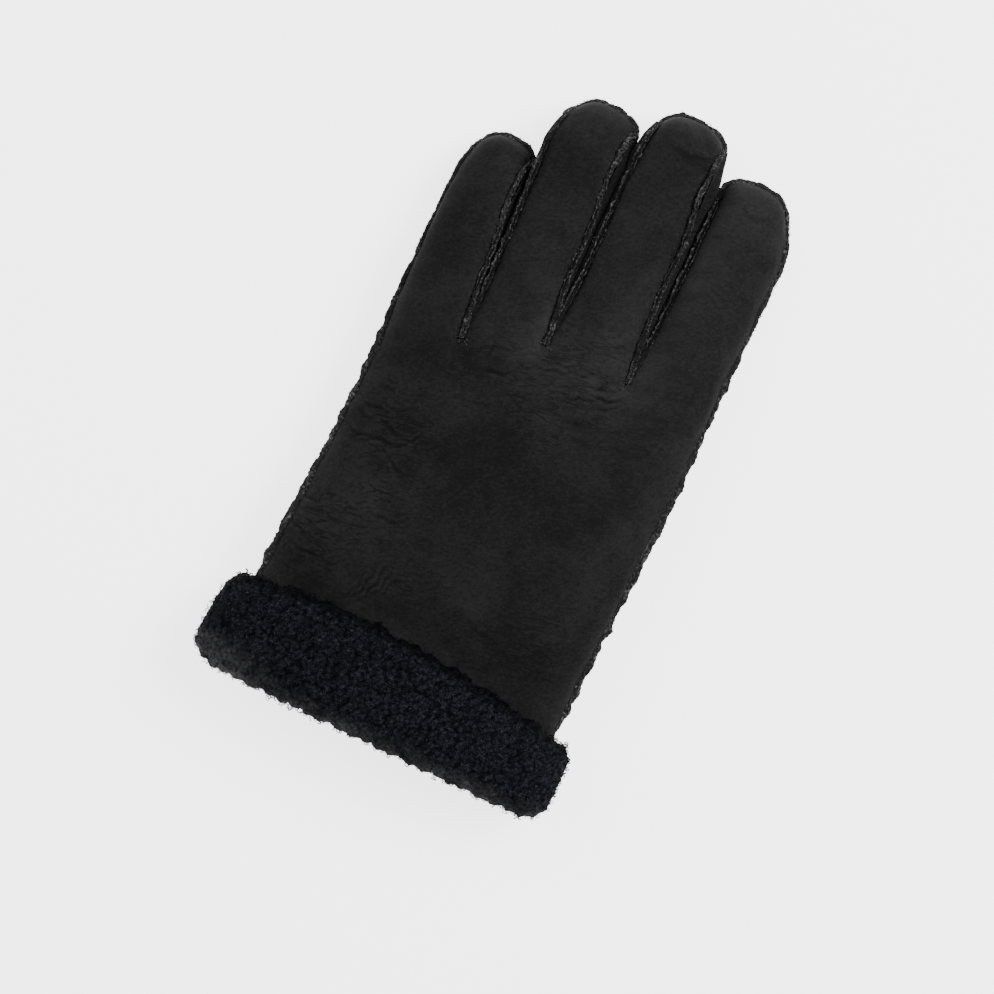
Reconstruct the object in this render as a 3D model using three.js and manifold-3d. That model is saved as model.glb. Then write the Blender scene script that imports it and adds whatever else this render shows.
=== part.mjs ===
// A left-hand winter glove in black shearling, with its cuff turned back to show the wool.
// It lies palm down, as it would on a table, with the thumb folded flat under the palm.
// Millimetres, +Z up. The fingers point towards +Y, the thumb side is +X and the back of the hand faces up.
// The sizes below count y from the lower edge of the cuff. The finished group is moved so that its origin
// is the middle of the surface that the glove lies on.
import * as THREE from "three";
import Module from "manifold-3d";

const wasm = await Module();
wasm.setup();

const { lerp, smoothstep, clamp } = THREE.MathUtils;

// Driving dimensions
const WALL = 3; // shearling with its wool pressed flat
const FOURCHETTE_WALL = 2.5;
const GAP = 0.3; // between pieces that are sewn face to face
const PALM_RISE = 12; // from the seam plane to the top of the back of the hand
const SEAM_LIP = 1.5; // how far the raw edges of an outside seam stand out
const LIP_THICKNESS = 1.2; // one raw edge
const BACK_FULLNESS = 2.6; // 2 is an ellipse, more is squarer
const PALM_FULLNESS = 3.6; // the palm is pressed flatter than the back
const PANEL_START = 3.5; // where the hide ends inside the fold of the cuff

// The seam plane's height: at the cuff, over the folded thumb, and along the drooping fingers
const CUFF_MIDDLE = 20.15;
const HAND_MIDDLE = 24.9;
const HAND_STARTS = 38;
const HAND_LEVEL = 62;
const SAG = { depth: 8, startX: 20, span: 80, power: 1.3, level: 112 }; // to the little finger's side
const FINGERS_DROP_FROM = 158;
const TIP_DROP = 3.2;

// Side edges of the back and palm panels, without their seam lips
const SIDES = [
  { y: PANEL_START, left: -60.2, right: 58.3 },
  { y: 40, left: -60.6, right: 57.8 },
  { y: 90, left: -59.0, right: 58.6 },
  { y: 120, left: -58.5, right: 59.3 },
  { y: 150, left: -60.0, right: 58.8 },
  { y: 176, left: -61.0, right: 58.5 },
  { y: 218, left: -60.6, right: 58.5 },
];

// The gaps between the fingers, from the little finger to the index finger
const SLITS = [
  { name: "little_ring", wristX: -31, baseX: -33.2, baseY: 144, topX: -37.4, topY: 216, gap: 1.4 },
  { name: "ring_middle", wristX: -1, baseX: -5.2, baseY: 155, topX: -7.7, topY: 234, gap: 2.8 },
  { name: "middle_index", wristX: 28, baseX: 26.8, baseY: 155, topX: 25.2, topY: 232, gap: 2.8 },
];
const SLIT_SPREAD = 34; // length over which a gap opens to its full width
const VALLEY = 16; // how far the dip at the foot of a gap runs into the hand

// Each finger: where its round end starts, its tip, how round it is, and the height that its seam droops to
const FINGERS = [
  { shoulder: 198, tipY: 217.6, tipX: -47.8, crown: 7.2, droop: 14.2 },
  { shoulder: 222, tipY: 242.2, tipX: -20.6, crown: 6.6, droop: 15.4 },
  { shoulder: 230, tipY: 250.6, tipX: 9.4, crown: 6.8, droop: 16.2 },
  { shoulder: 213, tipY: 239.2, tipX: 40.4, crown: 7.8, droop: 14.8 },
];
const TIP_FULLNESS = 2.5;
const SEAM_HALF_HEIGHT = 4.5; // half the width of a fourchette, the strip between two fingers
const FOURCHETTE_END = 0.86; // how far round the fingertip a fourchette runs

// Rows of the panels: across the hand, along a finger, and round its tip
const HAND_ROWS = [PANEL_START, 22, 38, 46, 54, 62, 78, 96, 114, 130, 144, 149.5, 155];
const FINGER_STEPS = [0.2, 0.4, 0.6, 0.8, 1];
const TIP_STEPS = [0.35, 0.62, 0.86, 1];
const COLUMNS = 8;

// The folded thumb: its centre line and half width, from the foot of its seam to its tip
const THUMB_MIDDLE = 6;
const THUMB = [
  { x: 40.0, y: 53.5, half: 6 },
  { x: 39.5, y: 57.5, half: 12 },
  { x: 38.5, y: 66, half: 17.5 },
  { x: 36.8, y: 79, half: 21.5 },
  { x: 33.5, y: 94, half: 23.5 },
  { x: 28.2, y: 109, half: 23.8 },
  { x: 21.0, y: 123, half: 22 },
  { x: 13.5, y: 136, half: 19.5 },
  { x: 7.0, y: 146.5, half: 16 },
  { x: 3.4, y: 152.5, half: 12 },
  { x: 1.6, y: 155.5, half: 6 },
];
const THUMB_CLOSING = [0.55, 0.88]; // how thick the two outermost sections are, as a share of the full one
const THUMB_SIDES = 16;
const THUMB_FLATTENING = 1.14; // the section is pressed flat where it meets the table and the palm
const THUMB_HOLE = { x: 36.8, y: 84, halfX: 14, halfY: 23, turn: 0.2 };

// The turned-back cuff in section: out is measured from the outside of the panels, up from the fold
const INNER_FACE = -3.6;
const FOLD_FLOOR = PANEL_START - GAP;
const CUFF_SECTION = [
  { out: GAP, up: 38.2 },
  { out: 2.6, up: 40.2 },
  { out: 5.4, up: 38.8 },
  { out: 7.4, up: 34.5 },
  { out: 8.0, up: 26 },
  { out: 8.0, up: 12 },
  { out: 6.6, up: 4.6 },
  { out: 3.4, up: 0.9 },
  { out: -1, up: 0 },
  { out: -4.2, up: 1.8 },
  { out: -5.8, up: 7 },
  { out: -5.8, up: 20 },
  { out: -5.0, up: 25 },
  { out: INNER_FACE, up: 25 },
  { out: INNER_FACE, up: FOLD_FLOOR },
  { out: GAP, up: FOLD_FLOOR },
];
const CUFF_TOP = 40.2;
const CUFF_BULGE = 1.36; // the fold stands out more at the two sides than above and below
const CUFF_DIP = { middle: -22, littleSide: 0.0025, thumbSide: 0.0014 };

const leather = new THREE.MeshStandardMaterial({ color: 0x222222, roughness: 0.82, metalness: 0 });
const wool = new THREE.MeshStandardMaterial({ color: 0x14151a, roughness: 0.95, metalness: 0 });

// Shape of the hand

function between(table, y, column) {
  const above = table.findIndex((row) => row.y >= y);
  if (above === -1) return table[table.length - 1][column];
  if (above === 0) return table[0][column];
  const [low, high] = [table[above - 1], table[above]];
  return lerp(low[column], high[column], (y - low.y) / (high.y - low.y));
}

// A rounded section's height, from 1 in its middle to 0 at t = -1 and 1
function roundness(t, face) {
  const fullness = face > 0 ? BACK_FULLNESS : PALM_FULLNESS;
  return Math.sqrt(Math.max(0, 1 - Math.abs(t) ** fullness));
}

// How far the hand stands out from its seam plane: face is 1 for its back and -1 for its palm
function handRise(x, y, face) {
  const left = between(SIDES, y, "left");
  const right = between(SIDES, y, "right");
  return PALM_RISE * roundness((2 * x - left - right) / (right - left), face);
}

function handMiddle(x, y) {
  const level = lerp(CUFF_MIDDLE, HAND_MIDDLE, smoothstep(y, HAND_STARTS, HAND_LEVEL));
  const towardsLittleSide = Math.max(0, SAG.startX - x) / SAG.span;
  const sag = SAG.depth * towardsLittleSide ** SAG.power;
  return level - sag * smoothstep(y, HAND_STARTS, SAG.level);
}

function palmUnderside(x, y) {
  return handMiddle(x, y) - GAP / 2 - handRise(x, y, -1);
}

// A finger's seam plane comes down from the hand as the finger droops
function fingerMiddle(x, y, { shoulder, droop }, round) {
  const share = smoothstep(y, FINGERS_DROP_FROM, shoulder);
  return lerp(handMiddle(x, y), droop, share) - TIP_DROP * round ** 2;
}

function slitX({ wristX, baseX, baseY, topX, topY }, y) {
  if (y < baseY) return lerp(wristX, baseX, (y - PANEL_START) / (baseY - PANEL_START));
  return lerp(baseX, topX, (y - baseY) / (topY - baseY));
}

function slitHalfGap({ gap, baseY }, y) {
  return (gap / 2) * smoothstep(y, baseY, baseY + SLIT_SPREAD);
}

function fingerSides(finger, y) {
  const [before, after] = [SLITS[finger - 1], SLITS[finger]];
  return {
    left: before ? slitX(before, y) + slitHalfGap(before, y) : between(SIDES, y, "left"),
    right: after ? slitX(after, y) - slitHalfGap(after, y) : between(SIDES, y, "right"),
  };
}

// How far a finger's own roundness has replaced the hand's: 0 in the palm, 1 past the foot of the gaps
function fingerShare(finger, across, y) {
  const before = SLITS[finger - 1] ?? SLITS[finger];
  const after = SLITS[finger] ?? SLITS[finger - 1];
  const share = (slit) => smoothstep(y, slit.baseY - VALLEY, slit.baseY);
  return lerp(share(before), share(after), (across + 1) / 2);
}

// A finger stands on fourchettes at the sides that face other fingers, and on a plain seam elsewhere
function fingerRise(finger, across, round, face) {
  const before = SLITS[finger - 1] ? SEAM_HALF_HEIGHT : 0;
  const after = SLITS[finger] ? SEAM_HALF_HEIGHT : 0;
  const strip = lerp(before, after, (across + 1) / 2) * (1 - round ** 2);
  return strip + FINGERS[finger].crown * roundness(across, face) * roundness(round, face);
}

// A point on the outside of a panel. across runs from -1 to 1 over a finger's column of the panel,
// and round from 0 to 1 over the round end of the finger.
function panelPoint(finger, across, rowY, round, face) {
  const { shoulder, tipY, tipX } = FINGERS[finger];
  const { left, right } = fingerSides(finger, rowY);
  const squareness = lerp(1, 2 / TIP_FULLNESS, round);
  const sideways = across * Math.sqrt(1 - round ** 2 / 2);
  const forwards = round * Math.sqrt(1 - across ** 2 / 2);
  const centre = lerp((left + right) / 2, tipX, round ** 2);
  const reach = Math.sign(sideways) * Math.abs(sideways) ** squareness;
  const x = centre + ((right - left) / 2) * reach;
  const y = rowY + (tipY - shoulder) * forwards ** squareness;

  const share = fingerShare(finger, across, rowY);
  const rise = lerp(handRise(x, y, face), fingerRise(finger, across, round, face), share);
  const seam = fingerMiddle(x, y, FINGERS[finger], round);
  const z = Math.max(0, seam + face * (GAP / 2 + rise));

  const onHandSide = (finger === 0 && across < 0) || (finger === SLITS.length && across > 0);
  const lip = (onHandSide ? 1 : smoothstep(round, 0.3, 1)) * smoothstep(y, CUFF_TOP, CUFF_TOP + 6);
  return { x, y, z, lip, seam };
}

function columnPositions() {
  return Array.from({ length: COLUMNS + 1 }, (_, i) => Math.sin((i / COLUMNS - 0.5) * Math.PI));
}

function fingerRows(finger) {
  const last = HAND_ROWS[HAND_ROWS.length - 1];
  const { shoulder } = FINGERS[finger];
  return [
    ...HAND_ROWS.map((y) => ({ y, round: 0 })),
    ...FINGER_STEPS.map((step) => ({ y: lerp(last, shoulder, step), round: 0 })),
    ...TIP_STEPS.map((round) => ({ y: shoulder, round })),
  ];
}

// Solids from grids of points

// Welds the grids' points and lists their triangles. flip turns them over.
function weldGrids(grids, flip) {
  const points = [];
  const seen = new Map();
  const indexOf = (p) => {
    const key = [p.x, p.y, p.z].map((c) => Math.round(c * 1e4)).join();
    if (!seen.has(key)) {
      seen.set(key, points.length);
      points.push(p);
    }
    return seen.get(key);
  };
  const faces = [];
  for (const grid of grids) {
    for (let row = 0; row + 1 < grid.length; row++) {
      for (let col = 0; col + 1 < grid[row].length; col++) {
        const a = indexOf(grid[row][col]);
        const b = indexOf(grid[row][col + 1]);
        const c = indexOf(grid[row + 1][col + 1]);
        const d = indexOf(grid[row + 1][col]);
        faces.push([a, b, c], [a, c, d]);
      }
    }
  }
  return { points, faces: flip ? faces.map(([a, b, c]) => [a, c, b]) : faces };
}

function vectorOf({ x, y, z }) {
  return new THREE.Vector3(x, y, z);
}

function pointNormals(points, faces) {
  const normals = points.map(() => new THREE.Vector3());
  for (const [a, b, c] of faces) {
    const [p, q, r] = [a, b, c].map((i) => vectorOf(points[i]));
    const normal = q.sub(p).cross(r.sub(p));
    for (const i of [a, b, c]) normals[i].add(normal);
  }
  return normals.map((normal) => normal.normalize());
}

function openEdges(faces) {
  const edges = faces.flatMap(([a, b, c]) => [[a, b], [b, c], [c, a]]);
  const listed = new Set(edges.map(([a, b]) => `${a},${b}`));
  return edges.filter(([a, b]) => !listed.has(`${b},${a}`));
}

// The two skins of a sheet and the strips that close its rim. Each layer has one point for each of the sheet's.
function closeSheet(faces, layers) {
  const corners = [];
  const first = layers[0];
  const last = layers[layers.length - 1];
  for (const [a, b, c] of faces) corners.push(first[a], first[b], first[c], last[c], last[b], last[a]);
  for (const [a, b] of openEdges(faces)) {
    for (let i = 0; i + 1 < layers.length; i++) {
      const [near, far] = [layers[i], layers[i + 1]];
      corners.push(near[b], near[a], far[a], near[b], far[a], far[b]);
    }
  }
  return solidFrom(corners);
}

// A closed solid from a list of corners, three to a triangle
function solidFrom(corners) {
  const vertices = [];
  const seen = new Map();
  const triangles = [];
  for (let i = 0; i < corners.length; i += 3) {
    const triangle = corners.slice(i, i + 3).map((p) => {
      const key = [p.x, p.y, p.z].map((c) => Math.round(c * 1e3)).join();
      if (!seen.has(key)) {
        seen.set(key, vertices.length / 3);
        vertices.push(p.x, p.y, p.z);
      }
      return seen.get(key);
    });
    if (new Set(triangle).size === 3) triangles.push(...triangle);
  }
  const mesh = new wasm.Mesh({
    numProp: 3,
    vertProperties: new Float32Array(vertices),
    triVerts: new Uint32Array(triangles),
  });
  return new wasm.Manifold(mesh);
}

function meshOf(name, solid, material) {
  const { numProp, numVert, vertProperties, triVerts } = solid.getMesh();
  const positions = new Float32Array(numVert * 3);
  for (let i = 0; i < numVert; i++) {
    positions.set(vertProperties.subarray(i * numProp, i * numProp + 3), i * 3);
  }
  const geometry = new THREE.BufferGeometry();
  geometry.setAttribute("position", new THREE.BufferAttribute(positions, 3));
  geometry.setIndex(new THREE.BufferAttribute(triVerts, 1));
  geometry.computeVertexNormals();
  const mesh = new THREE.Mesh(geometry, material);
  mesh.name = name;
  return mesh;
}

// Back and palm: one sheet of shearling each, from the cuff to the four fingertips

// Which way is out of the sheet, level with the table, along its side edges and round its fingers
function rimDirections(points, faces, face) {
  const outward = points.map(() => new THREE.Vector3());
  for (const [a, b] of openEdges(faces)) {
    const [p, q] = [points[a], points[b]];
    if (p.y === PANEL_START && q.y === PANEL_START) continue;
    const side = new THREE.Vector3(q.y - p.y, p.x - q.x, 0).multiplyScalar(face);
    outward[a].add(side);
    outward[b].add(side);
  }
  return outward.map((direction) => direction.normalize());
}

function panel(face) {
  const grids = FINGERS.map((_, finger) =>
    fingerRows(finger).map(({ y, round }) =>
      columnPositions().map((across) => panelPoint(finger, across, y, round, face)),
    ),
  );
  const { points, faces } = weldGrids(grids, face < 0);
  const normals = pointNormals(points, faces);
  const outward = rimDirections(points, faces, face);
  const onRim = outward.map((direction) => direction.lengthSq() > 0);
  const lipHeight = points.map((p, i) => (onRim[i] ? face * LIP_THICKNESS * p.lip : 0));
  const lipReach = points.map((p, i) => (onRim[i] ? SEAM_LIP * p.lip : 0));

  const skin = points.map((p, i) => vectorOf(p).setZ(p.z + lipHeight[i]));
  const lipTop = skin.map((p, i) => p.clone().addScaledVector(outward[i], lipReach[i]));
  const lipFoot = points.map((p, i) => vectorOf(p).addScaledVector(outward[i], lipReach[i]));
  const inside = points.map((p, i) => {
    const inner = vectorOf(p).addScaledVector(onRim[i] ? outward[i] : normals[i], -WALL);
    const fromSeam = Math.max(GAP / 2, face * (inner.z - p.seam));
    return inner.setZ(p.seam + face * fromSeam);
  });
  return closeSheet(faces, [skin, lipTop, lipFoot, inside]);
}

// A fourchette: a strip that joins back and palm down one finger, round the foot of the gap and up the next

function fourchette(index) {
  const { baseY } = SLITS[index];
  const leg = (finger, across) =>
    fingerRows(finger)
      .filter(({ y, round }) => y >= baseY && round <= FOURCHETTE_END)
      .map(({ y, round }) => {
        const foot = panelPoint(finger, across, y, round, -1);
        const top = panelPoint(finger, across, y, round, 1);
        return [{ ...foot, z: foot.z + GAP }, { ...top, z: top.z - GAP }];
      });
  const strip = [...leg(index, 1).reverse(), ...leg(index + 1, -1).slice(1)];
  const { points, faces } = weldGrids([strip], false);
  const normals = pointNormals(points, faces);
  const outside = points.map(vectorOf);
  const inside = outside.map((p, i) => {
    const level = normals[i].clone().setZ(0).normalize();
    return p.clone().addScaledVector(level, -FOURCHETTE_WALL);
  });
  return closeSheet(faces, [outside, inside]);
}

// The thumb: a flattened tube under the palm, open upwards where it is sewn round the hole in the palm

function squared(t) {
  return Math.sign(t) * Math.abs(t) ** (2 / BACK_FULLNESS);
}

function thumbRing(index, inset) {
  const last = THUMB.length - 1;
  const { x, y, half } = THUMB[index];
  const before = THUMB[Math.max(0, index - 1)];
  const after = THUMB[Math.min(last, index + 1)];
  const heading = Math.atan2(after.y - before.y, after.x - before.x);
  const closing = THUMB_CLOSING[Math.min(index, last - index)] ?? 1;
  return Array.from({ length: THUMB_SIDES }, (_, i) => {
    const turn = (i / THUMB_SIDES) * 2 * Math.PI;
    const reach = (half - inset) * squared(Math.cos(turn));
    const height = clamp(THUMB_FLATTENING * squared(Math.sin(turn)), -1, 1) * closing;
    const px = x + reach * Math.sin(heading);
    const py = y - reach * Math.cos(heading);
    const end = height > 0 ? palmUnderside(px, py) - GAP - inset : inset;
    return new THREE.Vector3(px, py, lerp(THUMB_MIDDLE, end, Math.abs(height)));
  });
}

// A closed solid through rings of points, with a fan over each end
function loft(rings) {
  const corners = [];
  const middle = (ring) => {
    const sum = ring.reduce((total, p) => total.add(p), new THREE.Vector3());
    return sum.divideScalar(ring.length);
  };
  rings.forEach((ring, i) => {
    const next = rings[i + 1];
    ring.forEach((a, j) => {
      const b = ring[(j + 1) % ring.length];
      if (i === 0) corners.push(middle(ring), a, b);
      if (!next) {
        corners.push(middle(ring), b, a);
        return;
      }
      const c = next[(j + 1) % ring.length];
      const d = next[j];
      corners.push(a, c, b, a, d, c);
    });
  });
  return solidFrom(corners);
}

function thumbHole() {
  const { x, y, halfX, halfY, turn } = THUMB_HOLE;
  const outline = new THREE.Shape().absellipse(x, y, halfX, halfY, 0, 2 * Math.PI, false, turn);
  const depth = HAND_MIDDLE - THUMB_MIDDLE;
  const prism = new THREE.ExtrudeGeometry(outline, { depth, bevelEnabled: false, curveSegments: 16 });
  prism.translate(0, 0, THUMB_MIDDLE);
  const position = prism.getAttribute("position");
  const corners = Array.from({ length: position.count }, (_, i) =>
    new THREE.Vector3().fromBufferAttribute(position, i),
  );
  return solidFrom(corners);
}

function thumb() {
  const outside = loft(THUMB.map((_, i) => thumbRing(i, 0)));
  const hollow = loft(THUMB.slice(1, -1).map((_, i) => thumbRing(i + 1, WALL)));
  return outside.subtract(hollow).subtract(thumbHole());
}

// The cuff: the end of the glove turned back on itself, wool side out, round the ends of both panels

// How much lower the cuff's upper edge lies at a place across the hand
function cuffScale(x) {
  const { middle, littleSide, thumbSide } = CUFF_DIP;
  const dip = (x < middle ? littleSide : thumbSide) * (x - middle) ** 2;
  return (CUFF_TOP - dip) / CUFF_TOP;
}

function cuffPoint({ finger, across, face }, { out, up }) {
  const rowY = Math.max(up, PANEL_START);
  const left = between(SIDES, rowY, "left");
  const right = between(SIDES, rowY, "right");
  const panelX = panelPoint(finger, across, rowY, 0, face).x;
  const share = (2 * panelX - left - right) / (right - left);
  const x = (left + right) / 2 + share * ((right - left) / 2 + out * CUFF_BULGE);
  const z = CUFF_MIDDLE + face * roundness(share, face) * (PALM_RISE + GAP / 2 + out);
  const isTurnedBack = out > 0 && up > PANEL_START;
  return new THREE.Vector3(x, isTurnedBack ? up * cuffScale(x) : up, z);
}

function cuff() {
  const columns = FINGERS.flatMap((_, finger) =>
    columnPositions()
      .slice(finger === 0 ? 0 : 1)
      .map((across) => ({ finger, across })),
  );
  const places = [
    ...columns.map((column) => ({ ...column, face: -1 })),
    ...columns.slice(1, -1).reverse().map((column) => ({ ...column, face: 1 })),
  ];
  const rings = places.map((place) => CUFF_SECTION.map((point) => cuffPoint(place, point)));
  const corners = [];
  rings.forEach((ring, i) => {
    const next = rings[(i + 1) % rings.length];
    ring.forEach((a, j) => {
      const k = (j + 1) % ring.length;
      corners.push(a, next[j], next[k], a, next[k], ring[k]);
    });
  });
  return solidFrom(corners);
}

const glove = new THREE.Group();
glove.add(meshOf("back_panel", panel(1), leather));
glove.add(meshOf("palm_panel", panel(-1).subtract(thumbHole()), leather));
SLITS.forEach(({ name }, i) => glove.add(meshOf(`fourchette_${name}`, fourchette(i), leather)));
glove.add(meshOf("thumb", thumb(), leather));
glove.add(meshOf("cuff", cuff(), wool));

const bounds = new THREE.Box3().setFromObject(glove);
const centre = bounds.getCenter(new THREE.Vector3());
glove.position.set(-centre.x, -centre.y, -bounds.min.z);

export default glove;
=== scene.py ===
import math

import bpy
import numpy as np
from mathutils.kdtree import KDTree
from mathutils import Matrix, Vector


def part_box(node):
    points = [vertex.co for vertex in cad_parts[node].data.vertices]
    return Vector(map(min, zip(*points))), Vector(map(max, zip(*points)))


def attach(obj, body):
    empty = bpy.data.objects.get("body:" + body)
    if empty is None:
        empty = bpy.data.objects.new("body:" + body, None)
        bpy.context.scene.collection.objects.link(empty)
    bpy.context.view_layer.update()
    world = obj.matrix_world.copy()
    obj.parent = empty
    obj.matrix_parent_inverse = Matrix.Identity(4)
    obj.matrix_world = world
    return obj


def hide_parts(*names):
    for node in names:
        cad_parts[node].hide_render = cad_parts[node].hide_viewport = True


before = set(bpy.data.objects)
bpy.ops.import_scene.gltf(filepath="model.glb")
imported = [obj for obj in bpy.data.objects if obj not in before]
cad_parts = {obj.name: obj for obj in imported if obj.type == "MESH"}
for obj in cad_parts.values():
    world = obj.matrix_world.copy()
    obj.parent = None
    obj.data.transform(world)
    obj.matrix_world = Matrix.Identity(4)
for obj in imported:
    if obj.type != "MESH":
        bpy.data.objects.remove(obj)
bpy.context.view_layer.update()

# BACK OF THE HAND
# One sheet of black shearling with its hide side out, which runs up into the backs of the four fingers.
# It is moulded by the hand that wore it, and creased at the knuckles and over the outer edge.

MM = 0.001
CUFF_OFF_CENTRE = 1.13  # the cuff reaches a little further to the outer side
cuff_low, cuff_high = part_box("cuff")
GLOVE_X = (cuff_low.x + cuff_high.x) / 2 / MM + CUFF_OFF_CENTRE
GLOVE_Y = cuff_low.y / MM  # sizes along the glove are counted from the lower edge of the cuff
SEAM_GAP = 0.3
RISE = 12.0  # from the height of the seam to the top of the hand
BACK_FULLNESS, PALM_FULLNESS = 2.6, 3.6  # 2 is an ellipse, more is squarer
PANEL_START = 3.5  # the hide ends inside the fold of the cuff
CUFF_LEVEL, HAND_LEVEL, HAND_STARTS, HAND_IS_LEVEL = 20.15, 24.9, 38, 62
SAG_DEPTH, SAG_FROM_X, SAG_SPAN, SAG_POWER, SAG_LEVEL = 8, 20, 80, 1.3, 112
DROOP_FROM, TIP_DROP = 158, 3.2


def table(columns, rows):
    """A short table with named columns."""
    return np.array(rows, dtype=[(column, float) for column in columns.split()])


SIDES = table("y left right", [
    (3.5, -60.2, 58.3), (40, -60.6, 57.8), (90, -59, 58.6), (120, -58.5, 59.3), (150, -60, 58.8),
    (176, -61, 58.5), (218, -60.6, 58.5),
])
# The gaps between the fingers: where each would meet the wrist, its foot, its top and its width
SLITS = table("wrist_x base_x base_y top_x top_y gap", [
    (-31, -33.2, 144, -37.4, 216, 1.4), (-1, -5.2, 155, -7.7, 234, 2.8), (28, 26.8, 155, 25.2, 232, 2.8),
])
SLIT_SPREAD, VALLEY, ROWS_MEET = 34, 16, 155
FINGERS = table("shoulder tip_y tip_x crown droop outer_full thumb_full", [
    (198, 217.3, -47.8, 7.2, 14.2, 2.5, 3.1), (222, 242.8, -20.6, 6.6, 15.4, 2.6, 3.0),
    (230, 251.4, 9.4, 6.8, 16.2, 2.6, 3.1), (213, 240.4, 40.6, 7.8, 14.8, 3.4, 2.5),
])
FOURCHETTE_HALF = 4.5
FOOT_HEIGHT, FOOT_LENGTH = 9.0, 30  # the hide stays high at the foot of a gap
FOOT_SOFTNESS, FOOT_SOFT_LENGTH = 0.24, 7  # and bends gently below it, without a crease


def smooth(value, low, high):
    share = np.clip((value - low) / (high - low), 0, 1)
    return share * share * (3 - 2 * share)


def mix(first, second, share):
    return first + (second - first) * share


def through(stations, values, at):
    """A smooth line through a short table."""
    slopes = np.gradient(values, stations)
    at = np.clip(at, stations[0], stations[-1])
    low = np.clip(np.searchsorted(stations, at, side="right") - 1, 0, len(stations) - 2)
    span = stations[low + 1] - stations[low]
    t = (at - stations[low]) / span
    rest = 1 - t
    start = values[low] * rest * rest * (1 + 2 * t) + slopes[low] * span * t * rest * rest
    return start + values[low + 1] * t * t * (3 - 2 * t) - slopes[low + 1] * span * t * t * rest


def side_x(side, y):
    return through(SIDES["y"], SIDES[side], y)


def roundness(t, face):
    fullness = np.where(face > 0, BACK_FULLNESS, PALM_FULLNESS)
    return np.sqrt(np.clip(1 - np.abs(t) ** fullness, 0, None))


def hand_rise(x, y, face):
    left, right = side_x("left", y), side_x("right", y)
    return RISE * roundness((2 * x - left - right) / (right - left), face)


def hand_middle(x, y):
    level = mix(CUFF_LEVEL, HAND_LEVEL, smooth(y, HAND_STARTS, HAND_IS_LEVEL))
    sag = SAG_DEPTH * (np.clip(SAG_FROM_X - x, 0, None) / SAG_SPAN) ** SAG_POWER
    return level - sag * smooth(y, HAND_STARTS, SAG_LEVEL)


def slit_x(slit, y):
    low = mix(slit["wrist_x"], slit["base_x"], (y - PANEL_START) / (slit["base_y"] - PANEL_START))
    high = mix(slit["base_x"], slit["top_x"], (y - slit["base_y"]) / (slit["top_y"] - slit["base_y"]))
    return np.where(y < slit["base_y"], low, high)


def finger_sides(finger, y):
    """The two edges of a finger's part of the panel."""
    edges = []
    for slit_index, side, inwards in ((finger - 1, "left", 1), (finger, "right", -1)):
        if 0 <= slit_index < len(SLITS):
            slit = SLITS[slit_index]
            opening = slit["gap"] / 2 * smooth(y, slit["base_y"], slit["base_y"] + SLIT_SPREAD)
            edges.append(slit_x(slit, y) + inwards * opening)
        else:
            edges.append(side_x(side, y))
    return edges


def panel_point(finger, across, row_y, around, face):
    """The outside of a panel. across is -1 to 1 over one finger, around is 0 to 1 over its round end."""
    form = FINGERS[finger]
    left, right = finger_sides(finger, row_y)
    to_thumb = (across + 1) / 2
    squareness = mix(1, 2 / mix(form["outer_full"], form["thumb_full"], to_thumb), around)
    sideways = across * np.sqrt(1 - around**2 / 2)
    forwards = around * np.sqrt(1 - across**2 / 2)
    centre = mix((left + right) / 2, form["tip_x"], around**2)
    x = centre + (right - left) / 2 * np.sign(sideways) * np.abs(sideways) ** squareness
    y = row_y + (form["tip_y"] - form["shoulder"]) * forwards**squareness

    last = len(SLITS)
    by_side = []
    for has_gap, slit, neighbour in (
        (finger > 0, SLITS[max(finger - 1, 0)], FINGERS[max(finger - 1, 0)]),
        (finger < last, SLITS[min(finger, last - 1)], FINGERS[min(finger + 1, last)]),
    ):
        foot = slit["base_y"]
        stays_high = (FOOT_HEIGHT - FOURCHETTE_HALF) * (1 - smooth(row_y, foot, foot + FOOT_LENGTH))
        by_side.append((
            smooth(row_y, foot - VALLEY, foot),
            (FOURCHETTE_HALF + stays_high) * has_gap,
            FOURCHETTE_HALF * has_gap,
            (form["crown"] + neighbour["crown"]) / 2,
            has_gap * (1 - smooth(row_y, foot - FOOT_SOFT_LENGTH, foot)),
        ))
    share, strip, plain_strip, edge_crown, below_foot = (mix(*pair, to_thumb) for pair in zip(*by_side))
    strip, plain_strip = strip * (1 - around**2), plain_strip * (1 - around**2)
    top = plain_strip + mix(form["crown"], edge_crown, across**4) * roundness(around, face)
    off_edge = np.hypot(1 - np.abs(across), FOOT_SOFTNESS * below_foot)
    finger_rise = strip + np.maximum(0, top - strip) * roundness(1 - off_edge, face)
    rise = mix(hand_rise(x, y, face), finger_rise, share)
    droop = smooth(y, DROOP_FROM, form["shoulder"])
    seam = mix(hand_middle(x, y), form["droop"], droop) - TIP_DROP * around**2
    return np.stack([x, y, np.maximum(0, seam + face * (SEAM_GAP / 2 + rise))], -1)


TIP_ROWS = 1.25  # the rows lie closer round a fingertip


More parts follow.
